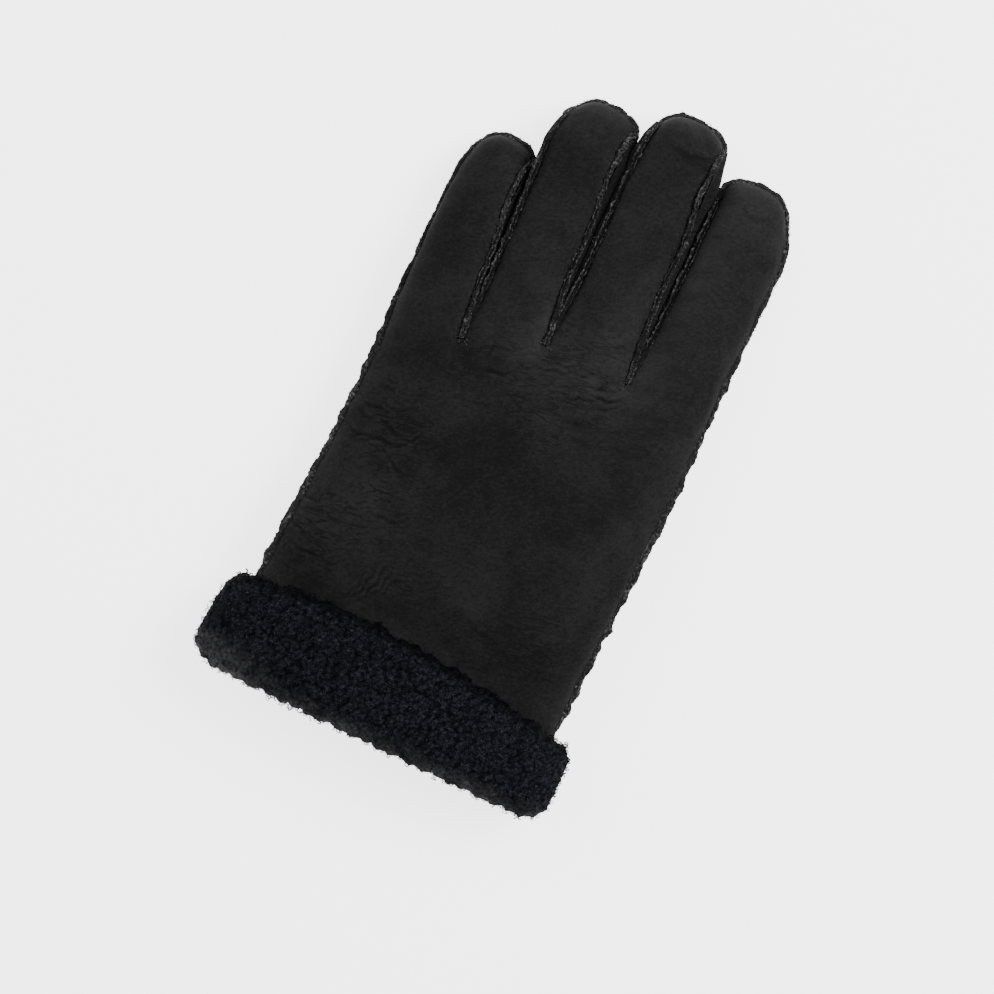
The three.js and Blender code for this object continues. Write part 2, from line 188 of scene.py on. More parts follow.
def panel_grids(face, row_length, columns, first_row=PANEL_START):
    """Rows of points across each finger's part of a panel, from the cuff to the fingertip."""
    across = np.sin(np.linspace(-0.5, 0.5, columns + 1) * math.pi)
    first_foot = SLITS["base_y"][0]
    low_rows = np.linspace(first_row, first_foot, round((first_foot - first_row) / row_length))
    high_rows = np.linspace(first_foot, ROWS_MEET, round((ROWS_MEET - first_foot) / row_length) + 1)[1:]
    hand_rows = np.append(low_rows, high_rows)
    grids = []
    for finger, form in enumerate(FINGERS):
        steps = round((form["shoulder"] - ROWS_MEET) / row_length)
        finger_rows = np.linspace(ROWS_MEET, form["shoulder"], steps + 1)[1:]
        tip_steps = round(TIP_ROWS * (form["tip_y"] - form["shoulder"]) / row_length)
        around = np.sin(np.linspace(0, 0.5, tip_steps + 1)[1:] * math.pi)
        rows = np.concatenate([hand_rows, finger_rows, np.full(tip_steps, form["shoulder"])])
        rounds = np.concatenate([np.zeros(len(hand_rows) + steps), around])
        grids.append(panel_point(finger, across[None, :], rows[:, None], rounds[:, None], face))
    return grids


def weld(grids, turn_over=False):
    """Joins grids of points where they meet. Returns the points, the faces, and which points were kept."""
    faces, start = [], 0
    for grid in grids:
        rows, columns = grid.shape[:2]
        index = start + np.arange(rows * columns).reshape(rows, columns)
        corners = [index[:-1, :-1], index[:-1, 1:], index[1:, 1:], index[1:, :-1]]
        faces.append(np.stack(corners, -1).reshape(-1, 4))
        start += rows * columns
    points = np.concatenate([grid.reshape(-1, 3) for grid in grids])
    _, kept, place = np.unique(np.round(points, 3), axis=0, return_index=True, return_inverse=True)
    faces = place.reshape(-1)[np.concatenate(faces)]
    return points[kept], faces[:, ::-1] if turn_over else faces, kept


def unit(ways):
    """The same ways with length 1."""
    return ways / np.maximum(np.linalg.norm(ways, axis=-1, keepdims=True), 1e-9)


def point_normals(points, faces):
    normals = np.zeros_like(points)
    diagonals = [points[faces[:, 2]] - points[faces[:, 0]], points[faces[:, 3]] - points[faces[:, 1]]]
    face_normals = np.cross(*diagonals)
    for corner in range(4):
        np.add.at(normals, faces[:, corner], face_normals)
    return unit(normals)


WAVE_COUNT = 22


def waves(points, length, seed):
    """Soft bumps without a pattern, about -1 to 1, made of plane waves in all directions."""
    draw = np.random.default_rng(seed)
    ways = unit(draw.normal(size=(WAVE_COUNT, 3)))
    lengths = length * draw.uniform(0.7, 1.5, WAVE_COUNT)
    phases = draw.uniform(0, 2 * math.pi, WAVE_COUNT)
    heights = np.sin(points @ (ways / lengths[:, None] * 2 * math.pi).T + phases)
    return heights.sum(1) / math.sqrt(WAVE_COUNT)


def lay_out(name, points, faces, finish, stands_for=(), marks=None):
    """One piece of the glove from its points in millimetres, its faces and its finish."""
    mesh = bpy.data.meshes.new(name)
    placed = (points + (GLOVE_X, GLOVE_Y, 0)) * MM
    sides = faces.shape[1]
    mesh.vertices.add(len(placed))
    mesh.vertices.foreach_set("co", placed.ravel())
    mesh.loops.add(faces.size)
    mesh.loops.foreach_set("vertex_index", faces.ravel().astype(np.int32))
    mesh.polygons.add(len(faces))
    mesh.polygons.foreach_set("loop_start", np.arange(0, faces.size, sides, dtype=np.int32))
    mesh.polygons.foreach_set("use_smooth", np.ones(len(faces), dtype=bool))
    for mark, values in (marks or {}).items():
        values = np.broadcast_to(values, len(points)).astype(np.float32)
        mesh.attributes.new(mark, "FLOAT", "POINT").data.foreach_set("value", values)
    mesh.update(calc_edges=True)
    mesh.validate()
    mesh.materials.append(finish)
    piece = bpy.data.objects.new(name, mesh)
    bpy.context.scene.collection.objects.link(piece)
    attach(piece, "root")
    if stands_for:
        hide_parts(*stands_for)


# The seam line round the back: up the outer edge, round each fingertip and down and up along each gap.
# Beside a gap the two edges are sewn on top of the finger, a little way in.
SEAM_START = 24  # under the wool of the cuff
SEAM_STEP, ROW_STEP = 0.45, 0.5
CLIMB_POINTS, CROSS_POINTS = 60, 90  # round a fingertip
INSET_AFTER, INSET_BEFORE, INSET_LENGTH = 1.1, 0.7, 22  # on a finger's thumb side and on its outer side
INSET_GROWTH, GROWTH_LENGTH = 1.7, 24  # and further in towards the tip, on the thumb side


def finger_seam(finger, face):
    """The seam round one finger, in small steps: its points, and how far it stands up and not out."""
    shoulder = FINGERS[finger]["shoulder"]
    first, last = finger == 0, finger == len(SLITS)
    foot_before = SEAM_START if first else SLITS["base_y"][finger - 1]
    foot_after = SEAM_START if last else SLITS["base_y"][finger]
    up_y = np.arange(foot_before, shoulder, ROW_STEP)
    down_y = np.arange(shoulder, foot_after, -ROW_STEP)
    climb = np.linspace(0, 1, CLIMB_POINTS)
    cross = np.linspace(-1, 1, CROSS_POINTS)[1:-1]
    rows = np.concatenate([up_y, np.full(2 * len(climb) + len(cross), shoulder), down_y])
    around = np.concatenate([0 * up_y, climb, np.ones(len(cross)), climb[::-1], 0 * down_y])
    side = np.concatenate([0 * up_y - 1, 0 * climb - 1, cross, 0 * climb + 1, 0 * down_y + 1])
    left, right = finger_sides(finger, rows)
    foot = np.where(side < 0, foot_before, foot_after)
    beside_gap = np.where(side < 0, not first, not last)
    standing = beside_gap * (1 - smooth(around, 0.45, 0.95))
    opened = smooth(rows, foot - 2, foot + INSET_LENGTH)
    growth = INSET_GROWTH * (side > 0) * smooth(rows, shoulder - GROWTH_LENGTH, shoulder)
    inset = np.where(side < 0, INSET_BEFORE, INSET_AFTER) + growth
    side = side * (1 - standing * opened * inset / ((right - left) / 2))
    return panel_point(finger, side, rows, around, face), standing


def read_along(values, distance, at):
    """The values of a line at some distances along it."""
    return np.stack([np.interp(at, distance, values[:, axis]) for axis in range(3)], -1)


def run_evenly(points, standing, step):
    """Puts points at equal steps along a line. Returns them, how far they stand up and the distances."""
    distance = np.append(0, np.cumsum(np.linalg.norm(np.diff(points, axis=0), axis=1)))
    at = np.arange(0, distance[-1], step)
    return read_along(points, distance, at), np.interp(at, distance, standing), at


def soften(values, reach):
    window = np.hanning(2 * reach + 3)[1:-1]
    padded = np.concatenate([np.repeat(values[:1], reach, 0), values, np.repeat(values[-1:], reach, 0)])
    if values.ndim == 1:
        return np.convolve(padded, window / window.sum(), "valid")
    return np.stack([np.convolve(column, window / window.sum(), "valid") for column in padded.T], -1)


def panel_seam(face):
    parts = [finger_seam(finger, face) for finger in range(len(FINGERS))]
    points, standing = (np.concatenate(part) for part in zip(*parts))
    points, standing, distance = run_evenly(points, standing, SEAM_STEP)
    return soften(points, 2), soften(standing, 4), distance


STITCH_PITCH = 3.8
SEAM_PULL, SEAM_PULL_REACH = 0.6, 1.7
PULL_AT_EDGE, PULL_AT_GAP = 0.35, 0.75
FAR_PULL, FAR_REACH = 0.35, 7


def nearest_of(places, points):
    """Which place each point is nearest to, and how far away that is."""
    tree = KDTree(len(places))
    for index, place in enumerate(places):
        tree.insert(place, index)
    tree.balance()
    found = [tree.find(point) for point in points]
    return np.array([hit[1] for hit in found]), np.array([hit[2] for hit in found])


def draw_in(points, normals, line):
    """The hide dips towards a seam, most where a stitch pulls it down. Returns the points, how near each is
    to the seam, whether that seam stands beside a gap, and the flank between the two, which the back of the
    hand darkens with painted shade."""
    seam_points, standing, distance = line
    nearest, away = nearest_of(seam_points, points)
    pull = 0.55 + 0.45 * np.cos(2 * math.pi * distance[nearest] / STITCH_PITCH)
    near = np.exp(-((away / SEAM_PULL_REACH) ** 2))
    far = FAR_PULL * np.exp(-away / FAR_REACH)
    depth = SEAM_PULL * mix(PULL_AT_EDGE, PULL_AT_GAP, standing[nearest]) * (near * pull + far)
    tangent = np.gradient(seam_points, axis=0)[nearest]
    offset = points - seam_points[nearest]
    beyond = offset[:, 1] * tangent[:, 0] - offset[:, 0] * tangent[:, 1]
    beyond /= np.maximum(np.linalg.norm(tangent[:, :2], axis=1), 1e-6)
    shaded_flank = standing[nearest] * smooth(beyond, 0.3, 1.3) * smooth(away, 12, 8)
    return points - normals * depth[:, None], np.exp(-away / 1.2), standing[nearest], shaded_flank


# Creases, by their middles, with the heading in degrees
CREASES = table("x y heading length width depth", [
    (-49, 108.7, 3, 13, 0.8, 0.4), (-42, 104.3, -20, 12, 0.8, 0.55), (-34, 103.4, 33, 11, 0.8, 0.5),
    (-50, 98, 3, 14, 0.8, 0.4), (-42, 99.2, 6, 12, 0.8, 0.55), (-37, 99.3, 27, 9, 0.7, 0.45),
    (-34, 92.6, -16, 9, 0.9, 0.3), (-53, 105, -18, 9, 0.9, 0.25), (-25, 104.5, 35, 8, 0.8, 0.25),
    (-29, 74.6, 6, 15, 0.9, 0.45), (-39, 77, 60, 8, 0.8, 0.25), (-57, 69.7, -14, 9, 0.8, 0.45),
    (-55, 65.8, 12, 9, 0.8, 0.35), (-50, 63.3, 27, 8, 0.8, 0.35), (-56, 58.6, -22, 9, 0.8, 0.45),
    (-49, 52, 2, 13, 0.9, 0.45), (-40, 52, 20, 8, 0.8, 0.3), (-28, 48.5, 74, 13, 0.8, 0.3),
    (-25.4, 50, 75, 19, 0.8, 0.4), (-22.6, 51, 76, 22, 0.8, 0.45), (-19.8, 52.5, 74, 18, 0.8, 0.4),
    (-17.2, 54, 72, 13, 0.8, 0.3), (4, 151, 22, 8, 0.8, 0.4), (12, 151, 20, 8, 0.9, 0.4),
    (20, 149.2, 13, 14, 0.8, 0.5), (23, 146.4, 15, 13, 0.8, 0.5), (15.5, 143.2, 20, 26, 0.8, 0.45),
    (5, 143.6, 14, 9, 0.8, 0.35), (2, 147.8, 17, 24, 0.8, 0.4), (-8, 145, 15, 8, 0.8, 0.3),
    (-16, 138.4, 18, 11, 0.9, 0.35), (10, 140.4, 22, 14, 0.8, 0.3), (24, 143.6, 20, 10, 0.8, 0.35),
    (-6, 140.6, 24, 9, 0.8, 0.25), (-21.5, 145.5, 100, 11, 0.8, 0.25), (-14, 149.5, 3, 10, 0.8, 0.2),
    (13, 238, 12, 17, 1.6, 0.45), (15, 134, 20, 9, 1.1, 0.2), (-22, 230, 4, 10, 1.4, 0.2),
    (42, 228, 8, 12, 1.4, 0.2),
])
# Where the hide is finely wrinkled
WRINKLED = table("x y reach strength", [
    (-44, 102, 14, 1.0), (-52, 61, 13, 1.0), (6, 146, 20, 0.9), (-19, 53, 12, 0.3), (-36, 74, 14, 0.6),
    (-21, 141, 12, 0.6), (40, 140, 14, 0.4), (32, 58, 15, 0.35),
])
# Where the hide is lighter or darker: brushed nap, and some painted light and shade (the lighter left
# side of the index finger, the painted shadow band across the middle fingertip)
NAP_AND_PAINTED_SHADING = table("x y across along strength", [
    (-9, 160, 4, 9, 0.7), (2, 150, 24, 15, 0.74), (18, 172, 9, 20, 0.4), (38, 205, 12, 40, 0.2),
    (32, 200, 5, 36, 0.45), (-3, 206, 5, 36, 0.3), (-30, 62, 14, 18, 0.2), (12, 128, 14, 12, 0.2),
    (46, 120, 14, 34, 0.1), (34, 152, 9, 17, 0.42), (10, 92, 24, 26, -0.2), (15, 237, 9, 1.8, -0.6),
    (-14, 235, 7, 9, -0.25), (44, 226, 14, 14, 0.12),
])


def crease_depths(points):
    depth = np.zeros(len(points))
    for crease in CREASES:
        heading = math.radians(crease["heading"])
        x, y = points[:, 0] - crease["x"], points[:, 1] - crease["y"]
        along = x * math.cos(heading) + y * math.sin(heading)
        aside = y * math.cos(heading) - x * math.sin(heading)
        t = np.clip(2 * along / crease["length"], -1, 1)
        bend = 0.1 * crease["length"] * t * t + 0.5 * np.sin(along * 0.9 + crease["x"])
        off = (aside - bend) / (0.6 * crease["width"])
        shoulders = 0.3 * np.exp(-(((np.abs(off) - 2.2) / 1.2) ** 2))
        depth += crease["depth"] * (1 - t * t) * (np.exp(-off * off) - shoulders)
    return depth


def wrinkle_marks(points):
    marks = np.zeros(len(points))
    for patch in WRINKLED:
        away = np.hypot(points[:, 0] - patch["x"], points[:, 1] - patch["y"]) / patch["reach"]
        marks = np.maximum(marks, patch["strength"] * np.exp(-away * away))
    return np.clip(marks * (1 + 0.45 * waves(points, 9, 31)), 0, 1)


# Lighter and darker patches: brushed nap, and painted light and shade
def nap_and_shading_marks(points):
    marks = np.zeros(len(points))
    for patch in NAP_AND_PAINTED_SHADING:
        aside = (points[:, 0] - patch["x"]) / patch["across"]
        along = (points[:, 1] - patch["y"]) / patch["along"]
        marks += patch["strength"] * np.exp(-(aside**2 + along**2))
    return marks * (1 + 0.25 * waves(points, 7, 33))


def feed(tree, node, inputs):
    """Gives a node its inputs. Each is a value or another node's socket."""
    for name, value in inputs.items():
        if isinstance(value, bpy.types.NodeSocket):
            tree.links.new(value, node.inputs[name])
        else:
            node.inputs[name].default_value = value


def wire(tree, kind, inputs=None, **settings):
    """Adds a node with its settings and inputs."""
    node = tree.nodes.new(kind)
    for setting, value in settings.items():
        setattr(node, setting, value)
    feed(tree, node, inputs or {})
    return node


def calculate(tree, operation, first, second=0.0, third=0.0, clamp=False):
    inputs = {0: first, 1: second, 2: third}
    return wire(tree, "ShaderNodeMath", inputs, operation=operation, use_clamp=clamp).outputs[0]


def place_on(tree):
    return wire(tree, "ShaderNodeTexCoord").outputs["Object"]


def turned(tree, place, angle, scale):
    """The place on the piece, turned back by an angle and then stretched."""
    turn = {"Vector": place, "Angle": calculate(tree, "MULTIPLY", angle, -1.0)}
    place = wire(tree, "ShaderNodeVectorRotate", turn, rotation_type="Z_AXIS").outputs[0]
    return wire(tree, "ShaderNodeMapping", {"Vector": place, "Scale": scale}).outputs[0]


def cloudy(tree, place, scale, detail=3.0, roughness=0.5, distortion=0.0):
    inputs = {"Vector": place, "Scale": scale, "Detail": detail, "Roughness": roughness}
    return wire(tree, "ShaderNodeTexNoise", {**inputs, "Distortion": distortion}).outputs[0]


def ramp(tree, value, low, high):
    inputs = {"Value": value, "From Min": low, "From Max": high, "To Min": 0.0, "To Max": 1.0}
    return wire(tree, "ShaderNodeMapRange", inputs, interpolation_type="SMOOTHSTEP").outputs[0]


def blend(tree, share, first, second):
    """A colour that goes from the first to the second."""
    return wire(tree, "ShaderNodeMixRGB", {"Fac": share, "Color1": first, "Color2": second}).outputs[0]


def mark_on(tree, mark):
    """The mark that each point of a piece carries."""
    return wire(tree, "ShaderNodeAttribute", attribute_name=mark).outputs["Fac"]


def bump_of(tree, height, strength, distance):
    inputs = {"Height": height, "Strength": strength, "Distance": distance}
    return wire(tree, "ShaderNodeBump", inputs).outputs[0]


def new_finish(name):
    finish = bpy.data.materials.new(name)
    finish.use_nodes = True
    return finish, finish.node_tree, finish.node_tree.nodes["Principled BSDF"]


# The hide's nap: soft clouds of tone, short brushed strokes that lie across the hand, and fine wrinkles,
# whose furrows are also painted darker (painted shade). Where the hide is rubbed, its tips show as light
# flecks.
nap = bpy.data.node_groups.new("hide_nap", "ShaderNodeTree")
nap_inputs = {"Cloud Size": 0.028, "Stroke Turn": 0.5, "Wrinkle Turn": 0.2}
for name, value in {**nap_inputs, "Wrinkles": 0.0, "Nap_And_Painted_Shading": 0.0, "Rubbed": 0.0}.items():
    nap.interface.new_socket(name, in_out="INPUT", socket_type="NodeSocketFloat").default_value = value
for name in ("Tone", "Flecks", "Roughness", "Relief"):
    nap.interface.new_socket(name, in_out="OUTPUT", socket_type="NodeSocketFloat")
given = wire(nap, "NodeGroupInput").outputs
place = place_on(nap)
cloud_scale = calculate(nap, "DIVIDE", 1.0, given["Cloud Size"])
clouds = cloudy(nap, place, cloud_scale, detail=4.0, roughness=0.6, distortion=0.4)
specks = cloudy(nap, place, 950.0, detail=3.0, roughness=0.7)
brushed_over = turned(nap, place, given["Stroke Turn"], (520.0, 1050.0, 800.0))
strokes = cloudy(nap, brushed_over, 1.0, detail=3.0, roughness=0.65, distortion=0.6)
drawn_out = turned(nap, place, given["Wrinkle Turn"], (85.0, 330.0, 250.0))
folds = cloudy(nap, drawn_out, 1.0, detail=2.5, roughness=0.55, distortion=1.1)
off_fold = calculate(nap, "ABSOLUTE", calculate(nap, "SUBTRACT", folds, 0.5))
furrows = calculate(nap, "SUBTRACT", 1.0, ramp(nap, off_fold, 0.0, 0.045))
furrows = calculate(nap, "MULTIPLY", furrows, given["Wrinkles"])
tone = calculate(nap, "MULTIPLY_ADD", clouds, 0.44, calculate(nap, "MULTIPLY", specks, 0.34))
tone = calculate(nap, "MULTIPLY_ADD", strokes, 0.42, tone)
# painted shade in the furrows of the fine wrinkles
tone = calculate(nap, "SUBTRACT", tone, calculate(nap, "MULTIPLY", furrows, 0.36))
# The nap-and-shading mark adds brushed nap tone, and painted light and shade
tone = calculate(nap, "ADD", ramp(nap, tone, 0.45, 0.77), given["Nap_And_Painted_Shading"])
relief = calculate(nap, "MULTIPLY_ADD", strokes, 0.45, calculate(nap, "MULTIPLY", specks, 0.4))
feed(nap, nap.nodes.new("NodeGroupOutput"), {
    "Tone": calculate(nap, "MULTIPLY", tone, 0.63, clamp=True),
    "Flecks": calculate(nap, "MULTIPLY", ramp(nap, specks, 0.44, 0.66), given["Rubbed"], clamp=True),
    "Roughness": calculate(nap, "MULTIPLY_ADD", specks, 0.16, 0.72),
    "Relief": calculate(nap, "SUBTRACT", relief, calculate(nap, "MULTIPLY", furrows, 1.1)),
})

HIDE_DARK = (0.0050, 0.0050, 0.0050, 1)
HIDE_LIGHT = (0.0185, 0.0185, 0.0186, 1)
HIDE_RUBBED = (0.085, 0.085, 0.084, 1)
NAP_DEPTH = 0.00022


def hide_finish(name):
    """Black hide with a soft nap, grey where it is rubbed."""
    finish, tree, shader = new_finish(name)
    effect = wire(tree, "ShaderNodeGroup", node_tree=nap)
    for socket, mark in (("Wrinkles", "wrinkled"), ("Nap_And_Painted_Shading", "nap_and_painted_shading"), ("Rubbed", "rubbed")):
        feed(tree, effect, {socket: mark_on(tree, mark)})
    colour = blend(tree, effect.outputs["Tone"], HIDE_DARK, HIDE_LIGHT)
    feed(tree, shader, {
        "Base Color": blend(tree, effect.outputs["Flecks"], colour, HIDE_RUBBED),
        "Roughness": effect.outputs["Roughness"],
        "Normal": bump_of(tree, effect.outputs["Relief"], 0.7, NAP_DEPTH),
        "Sheen Weight": 0.008, "Sheen Roughness": 0.5, "Specular IOR Level": 0.06,
    })
    return finish


hide = hide_finish("black_hide")

back_line = panel_seam(1)
back_points, back_faces, _ = weld(panel_grids(1, row_length=0.64, columns=56))
back_normals = point_normals(back_points, back_faces)
undulation = 0.42 * waves(back_points, 26, 3) + 0.14 * waves(back_points, 9, 5)
away_from_rim = smooth(back_points[:, 2], 8, 20)
back_points = back_points + back_normals * (undulation * away_from_rim)[:, None]
creases, wrinkled, nap_and_painted_shading = crease_depths(back_points), wrinkle_marks(back_points), nap_and_shading_marks(back_points)
back_points = back_points - back_normals * creases[:, None]
back_points, near_seam, beside_gap, shaded_flank = draw_in(back_points, back_normals, back_line)
# Slopes that face the main softbox: the hide there is painted darker, painted shade that tones down their
# highlight
facing_main_light = smooth(back_normals[:, 0] * 0.7 + back_normals[:, 1] * 0.7, 0.25, 0.9)
back_marks = {
    "wrinkled": wrinkled,
    # Painted light and shade in this mark: the creases are painted darker, with painted light on their
    # shoulders;
    # the hide next to a seam at a gap is lighter, partly rubbed wear and partly painted light that lifts the
    # shade of the groove
    # the slopes facing the main light and the flanks beside the gaps are painted darker (painted shade);
    "nap_and_painted_shading": nap_and_painted_shading - 1.7 * creases - 0.42 * facing_main_light + 0.35 * near_seam * beside_gap - 0.15 * shaded_flank,
    "rubbed": 0.35 * near_seam * mix(1, 0.8, beside_gap),
}
lay_out("back_of_hand", back_points, back_faces, hide, ["back_panel"], back_marks)

# PALM
# The second sheet of shearling, with the fronts of the four fingers. It is pressed flatter than the back.
# An oval hole near its thumb edge takes the thumb, which is sewn in round that hole.

HOLE_X, HOLE_Y, HOLE_HALF_X, HOLE_HALF_Y, HOLE_TURN = 36.8, 84, 14, 23, 0.2


def in_thumb_hole(points):
    x, y = points[:, 0] - HOLE_X, points[:, 1] - HOLE_Y
    along_x = x * math.cos(HOLE_TURN) + y * math.sin(HOLE_TURN)
    along_y = y * math.cos(HOLE_TURN) - x * math.sin(HOLE_TURN)
    return (along_x / HOLE_HALF_X) ** 2 + (along_y / HOLE_HALF_Y) ** 2 < 1


def keep_faces(points, faces, wanted, marks):
    """Only the wanted faces, with their points and the marks of those points."""
    faces = faces[wanted]
    used, place = np.unique(faces, return_inverse=True)
    marks = {mark: np.broadcast_to(values, len(points))[used] for mark, values in marks.items()}
    return points[used], place.reshape(faces.shape), marks


palm_points, palm_faces, _ = weld(panel_grids(-1, row_length=1.6, columns=32), turn_over=True)
palm_normals = point_normals(palm_points, palm_faces)
off_the_table = smooth(palm_points[:, 2], 0.5, 6)
palm_points = palm_points + palm_normals * (0.3 * waves(palm_points, 22, 8) * off_the_table)[:, None]
palm_points, near_seam, beside_gap, _ = draw_in(palm_points, palm_normals, panel_seam(-1))
palm_marks = {
    "wrinkled": 0.7 * smooth(waves(palm_points, 24, 12), 0.0, 1),
    "rubbed": 0.3 * near_seam,
    # painted shade: the hide next to the seams beside the gaps is painted darker
    "nap_and_painted_shading": 0.12 * waves(palm_points, 30, 13) - 0.3 * near_seam * beside_gap,
}
outside_hole = ~in_thumb_hole(palm_points[palm_faces].mean(1))
palm_points, palm_faces, palm_marks = keep_faces(palm_points, palm_faces, outside_hole, palm_marks)
lay_out("palm_of_hand", palm_points, palm_faces, hide, ["palm_panel"], palm_marks)

# FOURCHETTES
# Forked strips of the same hide between the fingers. Each is sewn to the back and to the palm, down the side
# of one finger, round the foot of the gap and up the side of the next.

FOURCHETTE_NODES = ("fourchette_little_ring", "fourchette_ring_middle", "fourchette_middle_index")
FOURCHETTE_END, END_ROWS = 0.9, 8  # how far a strip follows the round end of a finger
TUCK, TUCK_DEPTH = 1.3, 0.8  # the edges of a strip are turned in under the panels
PRESS, PRESS_LENGTH = 0.25, 4  # the two sides of a gap press on each other
SWELL, SWELL_LENGTH = 2.4, 12  # and swell up a little over their edges
TIP_SWELL, LEAN_LENGTH = 0.65, 12  # a fingertip leans on the next finger, on its thumb side


def fourchette_leg(finger, side, foot_y):
    shoulder = FINGERS[finger]["shoulder"]
    rows = np.append(np.arange(foot_y, shoulder, 1.2), np.full(END_ROWS, shoulder))
    around = np.append(np.zeros(len(rows) - END_ROWS), np.linspace(0, FOURCHETTE_END, END_ROWS))
    left, right = finger_sides(finger, rows)
    tucked = side * (1 - TUCK / ((right - left) / 2))
    edges = [panel_point(finger, side + 0 * rows, rows, around, face) for face in (-1, 1)]
    inner = [panel_point(finger, tucked, rows, around, face) - (0, 0, face * TUCK_DEPTH) for face in (-1, 1)]
    share = np.sin(np.linspace(-0.5, 0.5, 13) * math.pi) / 2 + 0.5
    strip = mix(edges[0][:, None, :], edges[1][:, None, :], share[None, :, None])
    slit = SLITS[finger if side > 0 else finger - 1]
    leaning = smooth(rows, shoulder - LEAN_LENGTH, shoulder) * smooth(around, 0.65, 0.0)
    fuller = 1 + TIP_SWELL * (side > 0) * leaning
    room = slit["gap"] / 2 * fuller * smooth(rows, foot_y, foot_y + SLIT_SPREAD)
    room = room + PRESS * smooth(rows, foot_y, foot_y + PRESS_LENGTH)
    opened = smooth(rows, foot_y, foot_y + SWELL_LENGTH)[:, None]
    strip[:, :, 0] += side * np.sin(share * math.pi) ** 0.15 * room[:, None]
    strip[:, :, 2] += SWELL * smooth(share, 0.45, 0.9) * opened
    inner[1][:, 2] += SWELL * opened[:, 0]
    return np.concatenate([inner[0][:, None], strip, inner[1][:, None]], 1)


for index, (node, slit) in enumerate(zip(FOURCHETTE_NODES, SLITS)):
    down = fourchette_leg(index, 1, slit["base_y"])[::-1]
    up = fourchette_leg(index + 1, -1, slit["base_y"])
    strip_points, strip_faces, _ = weld([np.concatenate([down, up[1:]])])
    strip_points = strip_points + (0.1 * waves(strip_points, 6, 20 + index))[:, None] * (1, 0, 0)
    # The strips between the fingers are painted a little darker: painted shade in the gaps
    marks = {"wrinkled": 0.5, "rubbed": 0.0, "nap_and_painted_shading": -0.1}
    lay_out(node.replace("fourchette", "strip"), strip_points, strip_faces, hide, [node], marks)

# THUMB
# A tube of hide folded flat under the palm. Its lower end is sewn round the hole in the palm, and its own
# seam runs up one side and over the tip.

THUMB = table("x y half", [
    (40, 53.5, 6), (39.5, 57.5, 12), (38.5, 66, 17.5), (36.8, 79, 21.5), (33.5, 94, 23.5), (28.2, 109, 23.8),
    (21, 123, 22), (13.5, 136, 19.5), (7, 146.5, 16), (3.4, 152.5, 12), (1.6, 155.5, 6),
])
THUMB_LEVEL, THUMB_FLATTENING = 6.0, 1.14
THUMB_END, THUMB_END_FULLNESS = 14, 2.2
THUMB_FLOOR = 0.15  # the underside lies almost on the table


def squared(value):
    return np.sign(value) * np.abs(value) ** (2 / BACK_FULLNESS)


def thumb_rings(sections, sides):
    """Rings of points from the foot of the thumb to its tip."""
    length = np.append(0, np.cumsum(np.hypot(np.diff(THUMB["x"]), np.diff(THUMB["y"]))))
    at = length[-1] * (1 - np.cos(np.linspace(0, math.pi, sections))) / 2
    x, y, half = (soften(np.interp(at, length, THUMB[column]), 2) for column in ("x", "y", "half"))
    heading = np.arctan2(np.gradient(y), np.gradient(x))
    to_end = np.clip(np.minimum(at, length[-1] - at) / THUMB_END, 0, 1)
    closing = np.sqrt(np.clip(1 - (1 - to_end) ** THUMB_END_FULLNESS, 0.02, None))
    turn = np.linspace(0, 2 * math.pi, sides, endpoint=False)
    reach = half[:, None] * squared(np.cos(turn))[None, :]
    height = np.clip(THUMB_FLATTENING * squared(np.sin(turn))[None, :], -1, 1) * closing[:, None]
    ring_x = x[:, None] + reach * np.sin(heading)[:, None]
    ring_y = y[:, None] - reach * np.cos(heading)[:, None]
    roof = hand_middle(ring_x, ring_y) - SEAM_GAP / 2 - hand_rise(ring_x, ring_y, -1) - SEAM_GAP
    z = mix(THUMB_LEVEL, np.where(height > 0, roof, THUMB_FLOOR), np.abs(height))
    return np.stack([ring_x, ring_y, z], -1)


thumb_grid = thumb_rings(sections=96, sides=72)
thumb_points, thumb_faces, _ = weld([np.concatenate([thumb_grid, thumb_grid[:, :1]], 1)])
thumb_normals = point_normals(thumb_points, thumb_faces)
if (thumb_normals[:, 2] * (thumb_points[:, 2] - THUMB_LEVEL)).sum() < 0:
    thumb_faces = thumb_faces[:, ::-1]
under = smooth(thumb_points[:, 2], 5.5, 2.5)
dents = np.clip(0.35 + 0.35 * waves(thumb_points, 14, 41), 0, None)
thumb_points = thumb_points + (dents * under)[:, None] * (0, 0, 1)
thumb_middles = thumb_points[thumb_faces].mean(1)
open_above = in_thumb_hole(thumb_middles) & (thumb_middles[:, 2] > THUMB_LEVEL)
thumb_marks = {
    "wrinkled": 0.55 * smooth(waves(thumb_points, 20, 44), 0, 1),
    "nap_and_painted_shading": 0.12 * waves(thumb_points, 26, 45),
    "rubbed": 0.0,
}
thumb_points, thumb_faces, thumb_marks = keep_faces(thumb_points, thumb_faces, ~open_above, thumb_marks)
lay_out("thumb_hide", thumb_points, thumb_faces, hide, ["thumb"], thumb_marks)

# SEAMS
# The two cut edges of each seam are laid together with their insides meeting and left to stand outwards, so
# that the seam is a narrow double ridge. The stitches pinch it, and its raw edges have rubbed grey.

RIDGE_THICKNESS = 0.8
# One cut edge in section: out from the seam, and away from the middle of the ridge
EDGE_SECTION = np.array([
    (-1.8, 1.2), (-0.7, 1.05), (0.0, 0.9), (0.5, 0.8), (0.95, 0.82), (1.25, 0.7), (1.38, 0.42), (1.3, 0.16),
    (0.8, 0.03),
])
HAND_EDGE_WIDTH, TIP_EDGE_WIDTH = 1.3, 0.8  # the edge is trimmed closer round the fingertips
ABOVE_TABLE = 0.1


